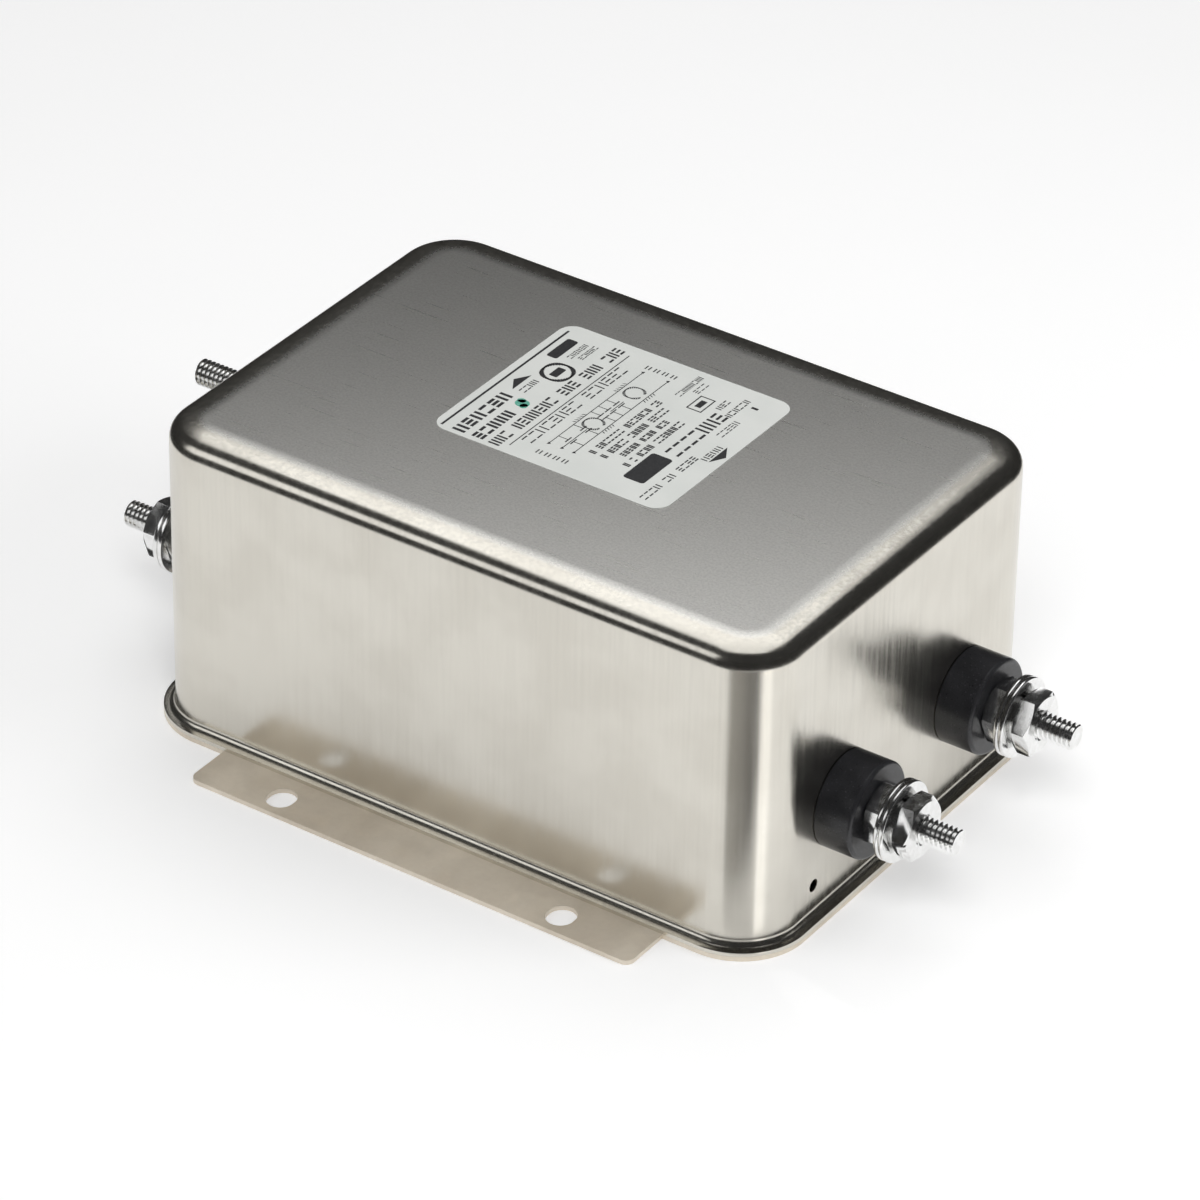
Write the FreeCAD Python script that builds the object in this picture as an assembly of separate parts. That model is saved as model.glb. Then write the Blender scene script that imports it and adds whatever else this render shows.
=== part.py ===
import FreeCAD, Part
import math
import os

from FreeCAD import Vector

# A line filter in a drawn steel can, standing on a flat base plate with two mounting
# flanges. Two insulated terminal studs leave each end wall, and the line end has a
# ground stud above them. Inside are two chokes, a circuit board and its capacitors.
# Lengths are in millimetres and angles in degrees. The origin is the centre of the
# underside of the base plate, +Z is up and +X points out of the load end.

# Drawn can
CAN_LENGTH = 108.0
CAN_WIDTH = 73.7
CAN_HEIGHT = 50.0
CAN_SHEET = 0.6
CAN_CORNER_RADIUS = 9.2
CROWN_RADIUS = 21.0
CROWN_ANGLE = 12.0
EDGE_RADIUS = 2.6
BRIM_REACH = 1.8
BRIM_FILLET = 1.1
VENT_DIAMETER = 2.0
VENT_FROM_SIDE = 14.1
VENT_ABOVE_BASE = 5.5

# Base plate with its two flanges
BASE_THICKNESS = 0.8
FLANGE_LENGTH = 78.0
FLANGE_REACH = 10.2
FLANGE_CORNER_RADIUS = 1.5
SLOT_WIDTH = 4.3
SLOT_LENGTH = 4.9
SLOT_FROM_END = 14.15
SLOT_FROM_EDGE = 3.75

# Label on the top face
LABEL_LENGTH = 40.4
LABEL_WIDTH = 35.2
LABEL_THICKNESS = 0.1
LABEL_CORNER_RADIUS = 2.6
LABEL_SHIFT_X = -0.45
LABEL_SHIFT_Y = 5.3

# Terminal studs, their nuts and washers
STUD_DIAMETER = 4.166
STUD_REACH = 19.5
STUD_TIP_CHAMFER = 0.2
STUD_HEAD_THICKNESS = 2.8
STUD_CLEARANCE = 0.07
TERMINAL_SPACING = 32.0
TERMINAL_ABOVE_BASE = 17.0
GROUND_BELOW_TOP = 15.4
GROUND_REACH = 18.0
NUT_ACROSS_FLATS = 8.73
NUT_CHAMFER_ANGLE = 30.0
JAM_NUT_THICKNESS = 2.95
TERMINAL_NUT_THICKNESS = 2.75
WASHER_DIAMETER = 12.4
WASHER_THICKNESS = 0.8
WASHER_COUNT = 2
LOCK_WASHER_DIAMETER = 7.5
LOCK_WASHER_THICKNESS = 0.4
LOCK_WASHER_SPLIT = 0.6
WASHER_BORE_CLEARANCE = 0.2

# Insulators of the line and load studs
INSULATOR_DIAMETER = 14.9
INSULATOR_LENGTH = 6.1
INSULATOR_ROUNDING = 0.6
SPIGOT_DIAMETER = 9.0
SPIGOT_PAST_WALL = 1.2
SPIGOT_CLEARANCE = 0.1
INNER_INSULATOR_DIAMETER = 14.0
INNER_INSULATOR_THICKNESS = 2.4
GATE_STUB_DIAMETER = 0.8
GATE_STUB_HEIGHT = 0.5
GATE_STUB_FROM_WALL = 1.2

# Solder lugs
LUG_DIAMETER = 9.5
LUG_SHEET = 0.8
LUG_TAIL_WIDTH = 4.0
LUG_DROP = 6.2
LUG_TAIL_LENGTH = 6.5
GROUND_LUG_TAIL_LENGTH = 11.0

# Chokes
CORE_OUTER_DIAMETER = 36.0
CORE_INNER_DIAMETER = 20.0
CORE_HEIGHT = 14.0
CORE_CHAMFER = 1.0
CORE_CLEARANCE = 0.05
CHOKE_GAP = 2.3
WIRE_DIAMETER = 1.9
TURNS = 5
DIVIDER_THICKNESS = 1.5
DIVIDER_PAST_CORE = 2.0
SPLICE_DIAMETER = 4.2
SPLICE_LENGTH = 9.0
SPLICE_WIRE_GAP = 0.6

# Base insulation, circuit board and what stands on it
BASE_SHEET_THICKNESS = 0.4
BASE_SHEET_MARGIN = 1.5
BOARD_END_GAP = 10.4
BOARD_SIDE_GAP = 3.25
BOARD_THICKNESS = 1.6
BOARD_CORNER_RADIUS = 2.0
BOARD_ABOVE_WIRE = 1.9
POST_DIAMETER = 6.0
POST_INSET = 4.0
PIN_DIAMETER = 1.5
PIN_CLEARANCE = 0.1
PIN_PAST_BOARD = 1.0
LEAD_DIAMETER = 0.8
X_CAPACITOR_LENGTH = 26.5
X_CAPACITOR_THICKNESS = 16.0
X_CAPACITOR_TOP_GAP = 3.3
X_CAPACITOR_PITCH = 22.5
X_CAPACITOR_OFFSET = 20.0
Y_CAPACITOR_LENGTH = 13.0
Y_CAPACITOR_THICKNESS = 5.0
Y_CAPACITOR_HEIGHT = 11.0
Y_CAPACITOR_PITCH = 10.0
Y_CAPACITOR_X = 6.0
Y_CAPACITOR_Y = 12.0
CAPACITOR_ROUNDING = 0.8
RESISTOR_DIAMETER = 3.2
RESISTOR_LENGTH = 9.0
RESISTOR_PITCH = 15.0
RESISTOR_X = -6.0
RESISTOR_STANDOFF = 0.2
RESISTOR_CHAMFER = 0.6
GROUND_WIRE_DIAMETER = 1.8
GROUND_WIRE_FROM_WALL = 13.4
GROUND_WIRE_BEND = 3.0

# Places worked out from the sizes above
BASE_TOP = BASE_THICKNESS
CAN_TOP = BASE_TOP + CAN_HEIGHT
END_WALL = CAN_LENGTH / 2
SIDE_WALL = CAN_WIDTH / 2
END_WALL_INSIDE = END_WALL - CAN_SHEET
STUD_RADIUS = STUD_DIAMETER / 2
STUD_HOLE_RADIUS = STUD_RADIUS + STUD_CLEARANCE
TERMINAL_Y = TERMINAL_SPACING / 2
TERMINAL_Z = BASE_TOP + TERMINAL_ABOVE_BASE
GROUND_Z = CAN_TOP - GROUND_BELOW_TOP
WIRE_RADIUS = WIRE_DIAMETER / 2
LUG_LEG_BOTTOM = TERMINAL_Z - LUG_DROP
WIRE_Z = LUG_LEG_BOTTOM - WIRE_RADIUS
SHEET_TOP = BASE_TOP + BASE_SHEET_THICKNESS
CORE_BOTTOM = SHEET_TOP + WIRE_DIAMETER + CORE_CLEARANCE
CORE_TOP = CORE_BOTTOM + CORE_HEIGHT
WIRE_TOP = CORE_TOP + CORE_CLEARANCE + WIRE_DIAMETER
BOARD_BOTTOM = WIRE_TOP + BOARD_ABOVE_WIRE
BOARD_TOP = BOARD_BOTTOM + BOARD_THICKNESS
BOARD_LENGTH = CAN_LENGTH - 2 * (CAN_SHEET + BOARD_END_GAP)
BOARD_WIDTH = CAN_WIDTH - 2 * (CAN_SHEET + BOARD_SIDE_GAP)
X_CAPACITOR_HEIGHT = CAN_TOP - CAN_SHEET - X_CAPACITOR_TOP_GAP - BOARD_TOP
GROUND_WIRE_X = GROUND_WIRE_FROM_WALL - END_WALL_INSIDE
GROUND_WIRE_Y = (GROUND_LUG_TAIL_LENGTH + LUG_DIAMETER / 2) / 2
LEAD_BOTTOM = BOARD_BOTTOM - PIN_PAST_BOARD
OUTER_LEG_RADIUS = CORE_OUTER_DIAMETER / 2 + CORE_CLEARANCE + WIRE_RADIUS
INNER_LEG_RADIUS = CORE_INNER_DIAMETER / 2 - CORE_CLEARANCE - WIRE_RADIUS
CHOKE_X = OUTER_LEG_RADIUS + WIRE_RADIUS + CHOKE_GAP / 2

# Each terminal: name, end (-1 line, +1 load), side, turn of its jam nut, turn of its nut
TERMINALS = (
    ("line_1", -1, -1, 52.0, 44.6),
    ("line_2", -1, 1, 12.0, 31.0),
    ("load_1", 1, -1, 26.0, 0.0),
    ("load_2", 1, 1, 51.0, 54.3),
)
GROUND_JAM_NUT_TURN = 10.0
GROUND_NUT_TURN = 40.0


def export(name, shape):
    shape.exportStep(os.path.join("parts", name + ".step"))


def bar(radius, x_from, x_to, y, z):
    """A round bar along X."""
    start = Vector(min(x_from, x_to), y, z)
    return Part.makeCylinder(radius, abs(x_to - x_from), start, Vector(1, 0, 0))


def post(radius, x, y, z_from, z_to):
    """A round bar along Z."""
    return Part.makeCylinder(radius, z_to - z_from, Vector(x, y, z_from))


def block(x_from, x_to, y_from, y_to, z_from, z_to):
    """A box given by its two ends along each axis, in either order."""
    low = Vector(min(x_from, x_to), min(y_from, y_to), min(z_from, z_to))
    return Part.makeBox(abs(x_to - x_from), abs(y_to - y_from), abs(z_to - z_from), low)


def upright_edges(shape):
    return [edge for edge in shape.Edges
            if edge.BoundBox.XLength < 1e-6 and edge.BoundBox.YLength < 1e-6]


def rounded_plate(length, width, radius, z_from, z_to, x=0.0, y=0.0):
    """A flat plate with round corners, centred on x and y."""
    plate = block(x - length / 2, x + length / 2, y - width / 2, y + width / 2, z_from, z_to)
    return plate.makeFillet(radius, upright_edges(plate))


def turned(points_and_arcs, x_base, direction, y, z):
    """A solid turned about a line along X.

    The profile is a list of (distance along the axis, radius) points. A step that is
    an arc is written as a pair of points: one on the arc, then its end.
    """
    edges = []

    def place(point):
        return Vector(x_base + direction * point[0], y + point[1], z)

    last = points_and_arcs[0]
    for step in points_and_arcs[1:]:
        if isinstance(step[0], tuple):
            middle, end = step
            edges.append(Part.Arc(place(last), place(middle), place(end)).toShape())
        else:
            end = step
            edges.append(Part.LineSegment(place(last), place(end)).toShape())
        last = end
    edges.append(Part.LineSegment(place(last), place(points_and_arcs[0])).toShape())
    face = Part.Face(Part.Wire(edges))
    return face.revolve(Vector(x_base, y, z), Vector(1, 0, 0), 360)


def hexagon(x_from, x_to, y, z, flats, turn):
    """A hexagonal bar along X, its first corner turned from +Y towards +Z."""
    corner_radius = flats / math.sqrt(3)
    corners = []
    for step in range(7):
        angle = math.radians(turn + 60 * step)
        corners.append(Vector(x_from, y + corner_radius * math.cos(angle),
                              z + corner_radius * math.sin(angle)))
    face = Part.Face(Part.makePolygon(corners))
    return face.extrude(Vector(x_to - x_from, 0, 0))


def nut(x_from, x_to, y, z, turn):
    """A hexagon nut with both faces chamfered at the corners."""
    flats = NUT_ACROSS_FLATS
    corner_radius = flats / math.sqrt(3)
    face_radius = flats / 2
    chamfer = (corner_radius - face_radius) * math.tan(math.radians(NUT_CHAMFER_ANGLE))
    thickness = abs(x_to - x_from)
    envelope = turned([(0, STUD_RADIUS), (0, face_radius), (chamfer, corner_radius),
                       (thickness - chamfer, corner_radius), (thickness, face_radius),
                       (thickness, STUD_RADIUS)], min(x_from, x_to), 1, y, z)
    return hexagon(x_from, x_to, y, z, flats, turn).common(envelope)


def washer(x_from, x_to, y, z, diameter):
    ring = bar(diameter / 2, x_from, x_to, y, z)
    return ring.cut(bar(STUD_RADIUS + WASHER_BORE_CLEARANCE, x_from, x_to, y, z))


def lock_washer(x_from, x_to, y, z):
    """A split ring, its slanting gap at the top."""
    ring = washer(x_from, x_to, y, z, LOCK_WASHER_DIAMETER)
    gap = block(x_from, x_to, y - LOCK_WASHER_SPLIT / 2, y + LOCK_WASHER_SPLIT / 2,
                z, z + LOCK_WASHER_DIAMETER)
    gap.rotate(Vector((x_from + x_to) / 2, y, z), Vector(0, 0, 1), 20)
    return ring.cut(gap)


def sweep_round_rectangle(face_at, length, width, radius):
    """Carries a section round a rectangle with round corners.

    face_at(origin, outward) returns the section's face at a point of the wall, in the
    plane of Z and the outward direction. The sides are extruded and the corners turned.
    """
    side_x = length / 2 - radius
    side_y = width / 2 - radius
    pieces = []
    for sign in (-1, 1):
        along_y = face_at(Vector(sign * length / 2, -side_y, 0), Vector(sign, 0, 0))
        pieces.append(along_y.extrude(Vector(0, 2 * side_y, 0)))
        along_x = face_at(Vector(-side_x, sign * width / 2, 0), Vector(0, sign, 0))
        pieces.append(along_x.extrude(Vector(2 * side_x, 0, 0)))
    for sign_x, sign_y, start in ((1, 1, Vector(1, 0, 0)), (-1, 1, Vector(0, 1, 0)),
                                  (-1, -1, Vector(-1, 0, 0)), (1, -1, Vector(0, -1, 0))):
        centre = Vector(sign_x * side_x, sign_y * side_y, 0)
        section = face_at(centre + start * radius, start)
        pieces.append(section.revolve(centre, Vector(0, 0, 1), 90))
    return pieces


def can_section(origin, outward):
    """The can's wall in section: crowned top edge, straight wall and flared brim."""
    angle = math.radians(CROWN_ANGLE)
    crown_width = CROWN_RADIUS * math.sin(angle)
    edge_width = EDGE_RADIUS * (1 - math.sin(angle))
    crown_drop = CROWN_RADIUS * (1 - math.cos(angle))
    crown_u = -(crown_width + edge_width)
    crown_z = CAN_TOP - CROWN_RADIUS
    edge_z = CAN_TOP - crown_drop - EDGE_RADIUS * math.cos(angle)
    brim_z = BASE_TOP + CAN_SHEET + BRIM_FILLET

    def place(outward_distance, height):
        return origin + outward * outward_distance + Vector(0, 0, height)

    def crown(at, inset):
        radius = CROWN_RADIUS - inset
        return place(crown_u + radius * math.sin(at), crown_z + radius * math.cos(at))

    def edge(at, inset):
        radius = EDGE_RADIUS - inset
        return place(-EDGE_RADIUS + radius * math.sin(at), edge_z + radius * math.cos(at))

    def brim(at, inset):
        radius = BRIM_FILLET + inset
        return place(BRIM_FILLET - radius * math.cos(at), brim_z - radius * math.sin(at))

    right = math.pi / 2
    middle = (angle + right) / 2
    sheet = CAN_SHEET
    edges = [
        Part.Arc(crown(0, 0), crown(angle / 2, 0), crown(angle, 0)).toShape(),
        Part.Arc(edge(angle, 0), edge(middle, 0), edge(right, 0)).toShape(),
        Part.LineSegment(edge(right, 0), brim(0, 0)).toShape(),
        Part.Arc(brim(0, 0), brim(right / 2, 0), brim(right, 0)).toShape(),
        Part.LineSegment(brim(right, 0), place(BRIM_REACH, BASE_TOP + sheet)).toShape(),
        Part.LineSegment(place(BRIM_REACH, BASE_TOP + sheet),
                         place(BRIM_REACH, BASE_TOP)).toShape(),
        Part.LineSegment(place(BRIM_REACH, BASE_TOP), brim(right, sheet)).toShape(),
        Part.Arc(brim(right, sheet), brim(right / 2, sheet), brim(0, sheet)).toShape(),
        Part.LineSegment(brim(0, sheet), edge(right, sheet)).toShape(),
        Part.Arc(edge(right, sheet), edge(middle, sheet), edge(angle, sheet)).toShape(),
        Part.Arc(crown(angle, sheet), crown(angle / 2, sheet), crown(0, sheet)).toShape(),
        Part.LineSegment(crown(0, sheet), crown(0, 0)).toShape(),
    ]
    return Part.Face(Part.Wire(edges))


def can():
    """The drawn can with its stud holes and the small vent hole in the load end."""
    angle = math.radians(CROWN_ANGLE)
    inset = CROWN_RADIUS * math.sin(angle) + EDGE_RADIUS * (1 - math.sin(angle))
    pieces = sweep_round_rectangle(can_section, CAN_LENGTH, CAN_WIDTH, CAN_CORNER_RADIUS)
    top = rounded_plate(CAN_LENGTH - 2 * inset, CAN_WIDTH - 2 * inset,
                        CAN_CORNER_RADIUS - inset, CAN_TOP - CAN_SHEET, CAN_TOP)
    shell = top.fuse(pieces).removeSplitter()
    spigot_hole = SPIGOT_DIAMETER / 2 + SPIGOT_CLEARANCE
    past = CAN_SHEET
    for _, end, side, _, _ in TERMINALS:
        shell = shell.cut(bar(spigot_hole, end * (END_WALL_INSIDE - past),
                              end * (END_WALL + past), side * TERMINAL_Y, TERMINAL_Z))
    shell = shell.cut(bar(STUD_HOLE_RADIUS, -END_WALL_INSIDE + past, -END_WALL - past, 0, GROUND_Z))
    return shell.cut(bar(VENT_DIAMETER / 2, END_WALL_INSIDE - past, END_WALL + past,
                         -SIDE_WALL + VENT_FROM_SIDE, BASE_TOP + VENT_ABOVE_BASE))


def slot(x, y):
    """A mounting slot, long across the flange."""
    shift = (SLOT_LENGTH - SLOT_WIDTH) / 2
    radius = SLOT_WIDTH / 2
    ends = [post(radius, x, y + sign * shift, 0, BASE_TOP) for sign in (-1, 1)]
    middle = block(x - radius, x + radius, y - shift, y + shift, 0, BASE_TOP)
    return middle.fuse(ends)


def base_plate():
    flange_y = SIDE_WALL + FLANGE_REACH
    plate = rounded_plate(CAN_LENGTH + 2 * BRIM_REACH, CAN_WIDTH + 2 * BRIM_REACH,
                          CAN_CORNER_RADIUS + BRIM_REACH, 0, BASE_TOP)
    flanges = rounded_plate(FLANGE_LENGTH, 2 * flange_y, FLANGE_CORNER_RADIUS, 0, BASE_TOP)
    plate = plate.fuse(flanges).removeSplitter()
    slot_x = FLANGE_LENGTH / 2 - SLOT_FROM_END
    slot_y = flange_y - SLOT_FROM_EDGE
    return plate.cut([slot(sign_x * slot_x, sign_y * slot_y)
                      for sign_x in (-1, 1) for sign_y in (-1, 1)])


def outer_insulator(end, side):
    """A turned bushing outside the wall, with a spigot through it and a moulding stub."""
    radius = INSULATOR_DIAMETER / 2
    rounding = INSULATOR_ROUNDING
    length = INSULATOR_LENGTH
    spigot = -(CAN_SHEET + SPIGOT_PAST_WALL)
    bend = rounding * (1 - math.sqrt(0.5))
    y = side * TERMINAL_Y
    body = turned([(spigot, STUD_HOLE_RADIUS), (spigot, SPIGOT_DIAMETER / 2),
                   (0, SPIGOT_DIAMETER / 2), (0, radius), (length - rounding, radius),
                   ((length - bend, radius - bend), (length, radius - rounding)),
                   (length, STUD_HOLE_RADIUS)], end * END_WALL, end, y, TERMINAL_Z)
    stub = Part.makeCylinder(GATE_STUB_DIAMETER / 2, radius / 2 + GATE_STUB_HEIGHT,
                             Vector(end * (END_WALL + GATE_STUB_FROM_WALL), y,
                                    TERMINAL_Z - radius - GATE_STUB_HEIGHT))
    return body.fuse(stub).removeSplitter()


def inner_insulator(end, side):
    """A shouldered washer inside the wall, counterbored for the spigot."""
    depth = SPIGOT_PAST_WALL + SPIGOT_CLEARANCE
    counterbore = SPIGOT_DIAMETER / 2 + SPIGOT_CLEARANCE
    return turned([(0, counterbore), (0, INNER_INSULATOR_DIAMETER / 2),
                   (INNER_INSULATOR_THICKNESS, INNER_INSULATOR_DIAMETER / 2),
                   (INNER_INSULATOR_THICKNESS, STUD_HOLE_RADIUS),
                   (depth, STUD_HOLE_RADIUS), (depth, counterbore)],
                  end * END_WALL_INSIDE, -end, side * TERMINAL_Y, TERMINAL_Z)


def stud(end, y, z, seat, tip):
    """A threaded stud with a hexagon head at its inner end and a chamfered tip."""
    shank = turned([(seat, 0), (seat, STUD_RADIUS), (tip - STUD_TIP_CHAMFER, STUD_RADIUS),
                    (tip, STUD_RADIUS - STUD_TIP_CHAMFER), (tip, 0)], 0, end, y, z)
    head = hexagon(end * (seat - STUD_HEAD_THICKNESS), end * seat, y, z, NUT_ACROSS_FLATS, 0)
    return shank.fuse(head).removeSplitter()


def solder_lug(end, side):
    """A ring lug whose tail turns inwards below the stud's head."""
    back = end * (END_WALL_INSIDE - INNER_INSULATOR_THICKNESS)
    front = back - end * LUG_SHEET
    y = side * TERMINAL_Y
    half = LUG_TAIL_WIDTH / 2
    ring = bar(LUG_DIAMETER / 2, back, front, y, TERMINAL_Z)
    drop = block(back, front, y - half, y + half, LUG_LEG_BOTTOM, TERMINAL_Z)
    leg = block(back, back - end * LUG_TAIL_LENGTH, y - half, y + half,
                LUG_LEG_BOTTOM, LUG_LEG_BOTTOM + LUG_SHEET)
    hole = bar(STUD_HOLE_RADIUS, back, front, y, TERMINAL_Z)
    return ring.fuse([drop, leg]).removeSplitter().cut(hole)


def ground_lug():
    """A straight ring lug held against the line end wall, its tail pointing sideways."""
    back = -END_WALL_INSIDE
    front = back + LUG_SHEET
    half = LUG_TAIL_WIDTH / 2
    ring = bar(LUG_DIAMETER / 2, back, front, 0, GROUND_Z)
    tail = block(back, front, 0, GROUND_LUG_TAIL_LENGTH, GROUND_Z - half, GROUND_Z + half)
    return ring.fuse(tail).removeSplitter().cut(bar(STUD_HOLE_RADIUS, back, front, 0, GROUND_Z))


def hardware(end, y, z, start, jam_turn, nut_turn):
    """The jam nut, flat washers, lock washer and nut on one stud, from its seat outwards."""
    at = start + JAM_NUT_THICKNESS
    jam = nut(end * start, end * at, y, z, jam_turn)
    flats = []
    for _ in range(WASHER_COUNT):
        flats.append(washer(end * at, end * (at + WASHER_THICKNESS), y, z, WASHER_DIAMETER))
        at += WASHER_THICKNESS
    lock = lock_washer(end * at, end * (at + LOCK_WASHER_THICKNESS), y, z)
    at += LOCK_WASHER_THICKNESS
    outer = nut(end * at, end * (at + TERMINAL_NUT_THICKNESS), y, z, nut_turn)
    return jam, flats, lock, outer


def choke_core(x):
    """A ring core with broken edges, lying flat."""
    ring = post(CORE_OUTER_DIAMETER / 2, x, 0, CORE_BOTTOM, CORE_TOP)
    ring = ring.cut(post(CORE_INNER_DIAMETER / 2, x, 0, CORE_BOTTOM, CORE_TOP))
    rims = [edge for edge in ring.Edges if edge.BoundBox.ZLength < 1e-6]
    return ring.makeChamfer(CORE_CHAMFER, rims)


def winding(end, side):
    """One winding: its straight lead from the lug, its turns and its lead to the splice."""
    centre_x = end * CHOKE_X
    first = math.degrees(math.asin(TERMINAL_Y / OUTER_LEG_RADIUS))
    step = (180 - 2 * first) / TURNS
    low = SHEET_TOP + WIRE_RADIUS
    high = WIRE_TOP - WIRE_RADIUS
    lug_x = END_WALL_INSIDE - INNER_INSULATOR_THICKNESS - LUG_SHEET

    def leg(radius, angle, z):
        turn = math.radians(angle)
        return Vector(centre_x + end * radius * math.cos(turn), side * radius * math.sin(turn), z)

    points = [Vector(end * lug_x, side * TERMINAL_Y, WIRE_Z), leg(OUTER_LEG_RADIUS, first, WIRE_Z)]
    for turn in range(TURNS):
        outer = first + turn * step
        inner = outer + step / 2
        points.append(leg(OUTER_LEG_RADIUS, outer, high))
        points.append(leg(INNER_LEG_RADIUS, inner, high))
        points.append(leg(INNER_LEG_RADIUS, inner, low))
        points.append(leg(OUTER_LEG_RADIUS, outer + step, low))
    points.append(leg(OUTER_LEG_RADIUS, 180 - first, WIRE_Z))
    points.append(Vector(end * SPLICE_WIRE_GAP / 2, side * TERMINAL_Y, WIRE_Z))
    circle = Part.Wire(Part.makeCircle(WIRE_RADIUS, points[0], Vector(1, 0, 0)))
    mitred = 1
    return Part.makePolygon(points).makePipeShell([circle], True, False, mitred)


def splice(side):
    """A crimped sleeve that joins the windings of the two chokes."""
    y = side * TERMINAL_Y
    sleeve = bar(SPLICE_DIAMETER / 2, -SPLICE_LENGTH / 2, SPLICE_LENGTH / 2, y, WIRE_Z)
    return sleeve.cut(bar(WIRE_RADIUS, -SPLICE_LENGTH / 2, SPLICE_LENGTH / 2, y, WIRE_Z))


def divider(x):
    """The insulating wall between the two windings of one choke."""
    half_thickness = DIVIDER_THICKNESS / 2
    half = math.sqrt((CORE_INNER_DIAMETER / 2) ** 2 - half_thickness ** 2) - CORE_CLEARANCE
    return block(x - half, x + half, -half_thickness, half_thickness,
                 SHEET_TOP, CORE_TOP + DIVIDER_PAST_CORE)


def lead_holes():
    """The centres and diameters of every hole in the circuit board."""
    holes = []
    for sign in (-1, 1):
        holes.append((0.0, sign * TERMINAL_Y, PIN_DIAMETER))
        holes.append((RESISTOR_X, sign * RESISTOR_PITCH / 2, LEAD_DIAMETER))
        for end in (-1, 1):
            holes.append((end * X_CAPACITOR_OFFSET, sign * X_CAPACITOR_PITCH / 2, LEAD_DIAMETER))
            holes.append((Y_CAPACITOR_X, sign * Y_CAPACITOR_Y + end * Y_CAPACITOR_PITCH / 2,
                          LEAD_DIAMETER))
    holes.append((GROUND_WIRE_X, GROUND_WIRE_Y, GROUND_WIRE_DIAMETER))
    return holes


def circuit_board():
    board = rounded_plate(BOARD_LENGTH, BOARD_WIDTH, BOARD_CORNER_RADIUS, BOARD_BOTTOM, BOARD_TOP)
    return board.cut([post(diameter / 2 + PIN_CLEARANCE, x, y, BOARD_BOTTOM, BOARD_TOP)
                      for x, y, diameter in lead_holes()])


def board_posts():
    x = BOARD_LENGTH / 2 - POST_INSET
    y = BOARD_WIDTH / 2 - POST_INSET
    return [post(POST_DIAMETER / 2, sign_x * x, sign_y * y, SHEET_TOP, BOARD_BOTTOM)
            for sign_x in (-1, 1) for sign_y in (-1, 1)]


def capacitor(x, y, thickness, length, height, pitch):
    """A boxed film capacitor standing on the board, its two leads through it."""
    body = block(x - thickness / 2, x + thickness / 2, y - length / 2, y + length / 2,
                 BOARD_TOP, BOARD_TOP + height)
    body = body.makeFillet(CAPACITOR_ROUNDING, upright_edges(body))
    leads = [post(LEAD_DIAMETER / 2, x, y + sign * pitch / 2, LEAD_BOTTOM, BOARD_TOP)
             for sign in (-1, 1)]
    return body.fuse(leads).removeSplitter()


def bleed_resistor():
    """An axial resistor across the board, its leads bent down through it."""
    z = BOARD_TOP + RESISTOR_STANDOFF + RESISTOR_DIAMETER / 2
    half = RESISTOR_PITCH / 2
    body = Part.makeCylinder(RESISTOR_DIAMETER / 2, RESISTOR_LENGTH,
                             Vector(RESISTOR_X, -RESISTOR_LENGTH / 2, z), Vector(0, 1, 0))
    rims = [edge for edge in body.Edges if edge.BoundBox.YLength < 1e-6]
    body = body.makeChamfer(RESISTOR_CHAMFER, rims)
    path = Part.makePolygon([Vector(RESISTOR_X, -half, LEAD_BOTTOM), Vector(RESISTOR_X, -half, z),
                             Vector(RESISTOR_X, half, z), Vector(RESISTOR_X, half, LEAD_BOTTOM)])
    circle = Part.Wire(Part.makeCircle(LEAD_DIAMETER / 2, Vector(RESISTOR_X, -half, LEAD_BOTTOM)))
    mitred = 1
    return body.fuse(path.makePipeShell([circle], True, False, mitred)).removeSplitter()


def ground_wire():
    """The wire from the board up and across to the tail of the ground lug."""
    lug_face = -END_WALL_INSIDE + LUG_SHEET
    x = GROUND_WIRE_X
    y = GROUND_WIRE_Y
    z = GROUND_Z
    bend = GROUND_WIRE_BEND
    corner = bend * (1 - math.sqrt(0.5))
    path = Part.Wire([
        Part.LineSegment(Vector(x, y, LEAD_BOTTOM), Vector(x, y, z - bend)).toShape(),
        Part.Arc(Vector(x, y, z - bend), Vector(x - corner, y, z - corner),
                 Vector(x - bend, y, z)).toShape(),
        Part.LineSegment(Vector(x - bend, y, z), Vector(lug_face, y, z)).toShape(),
    ])
    circle = Part.Wire(Part.makeCircle(GROUND_WIRE_DIAMETER / 2, Vector(x, y, LEAD_BOTTOM)))
    return path.makePipeShell([circle], True, False)


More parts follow.
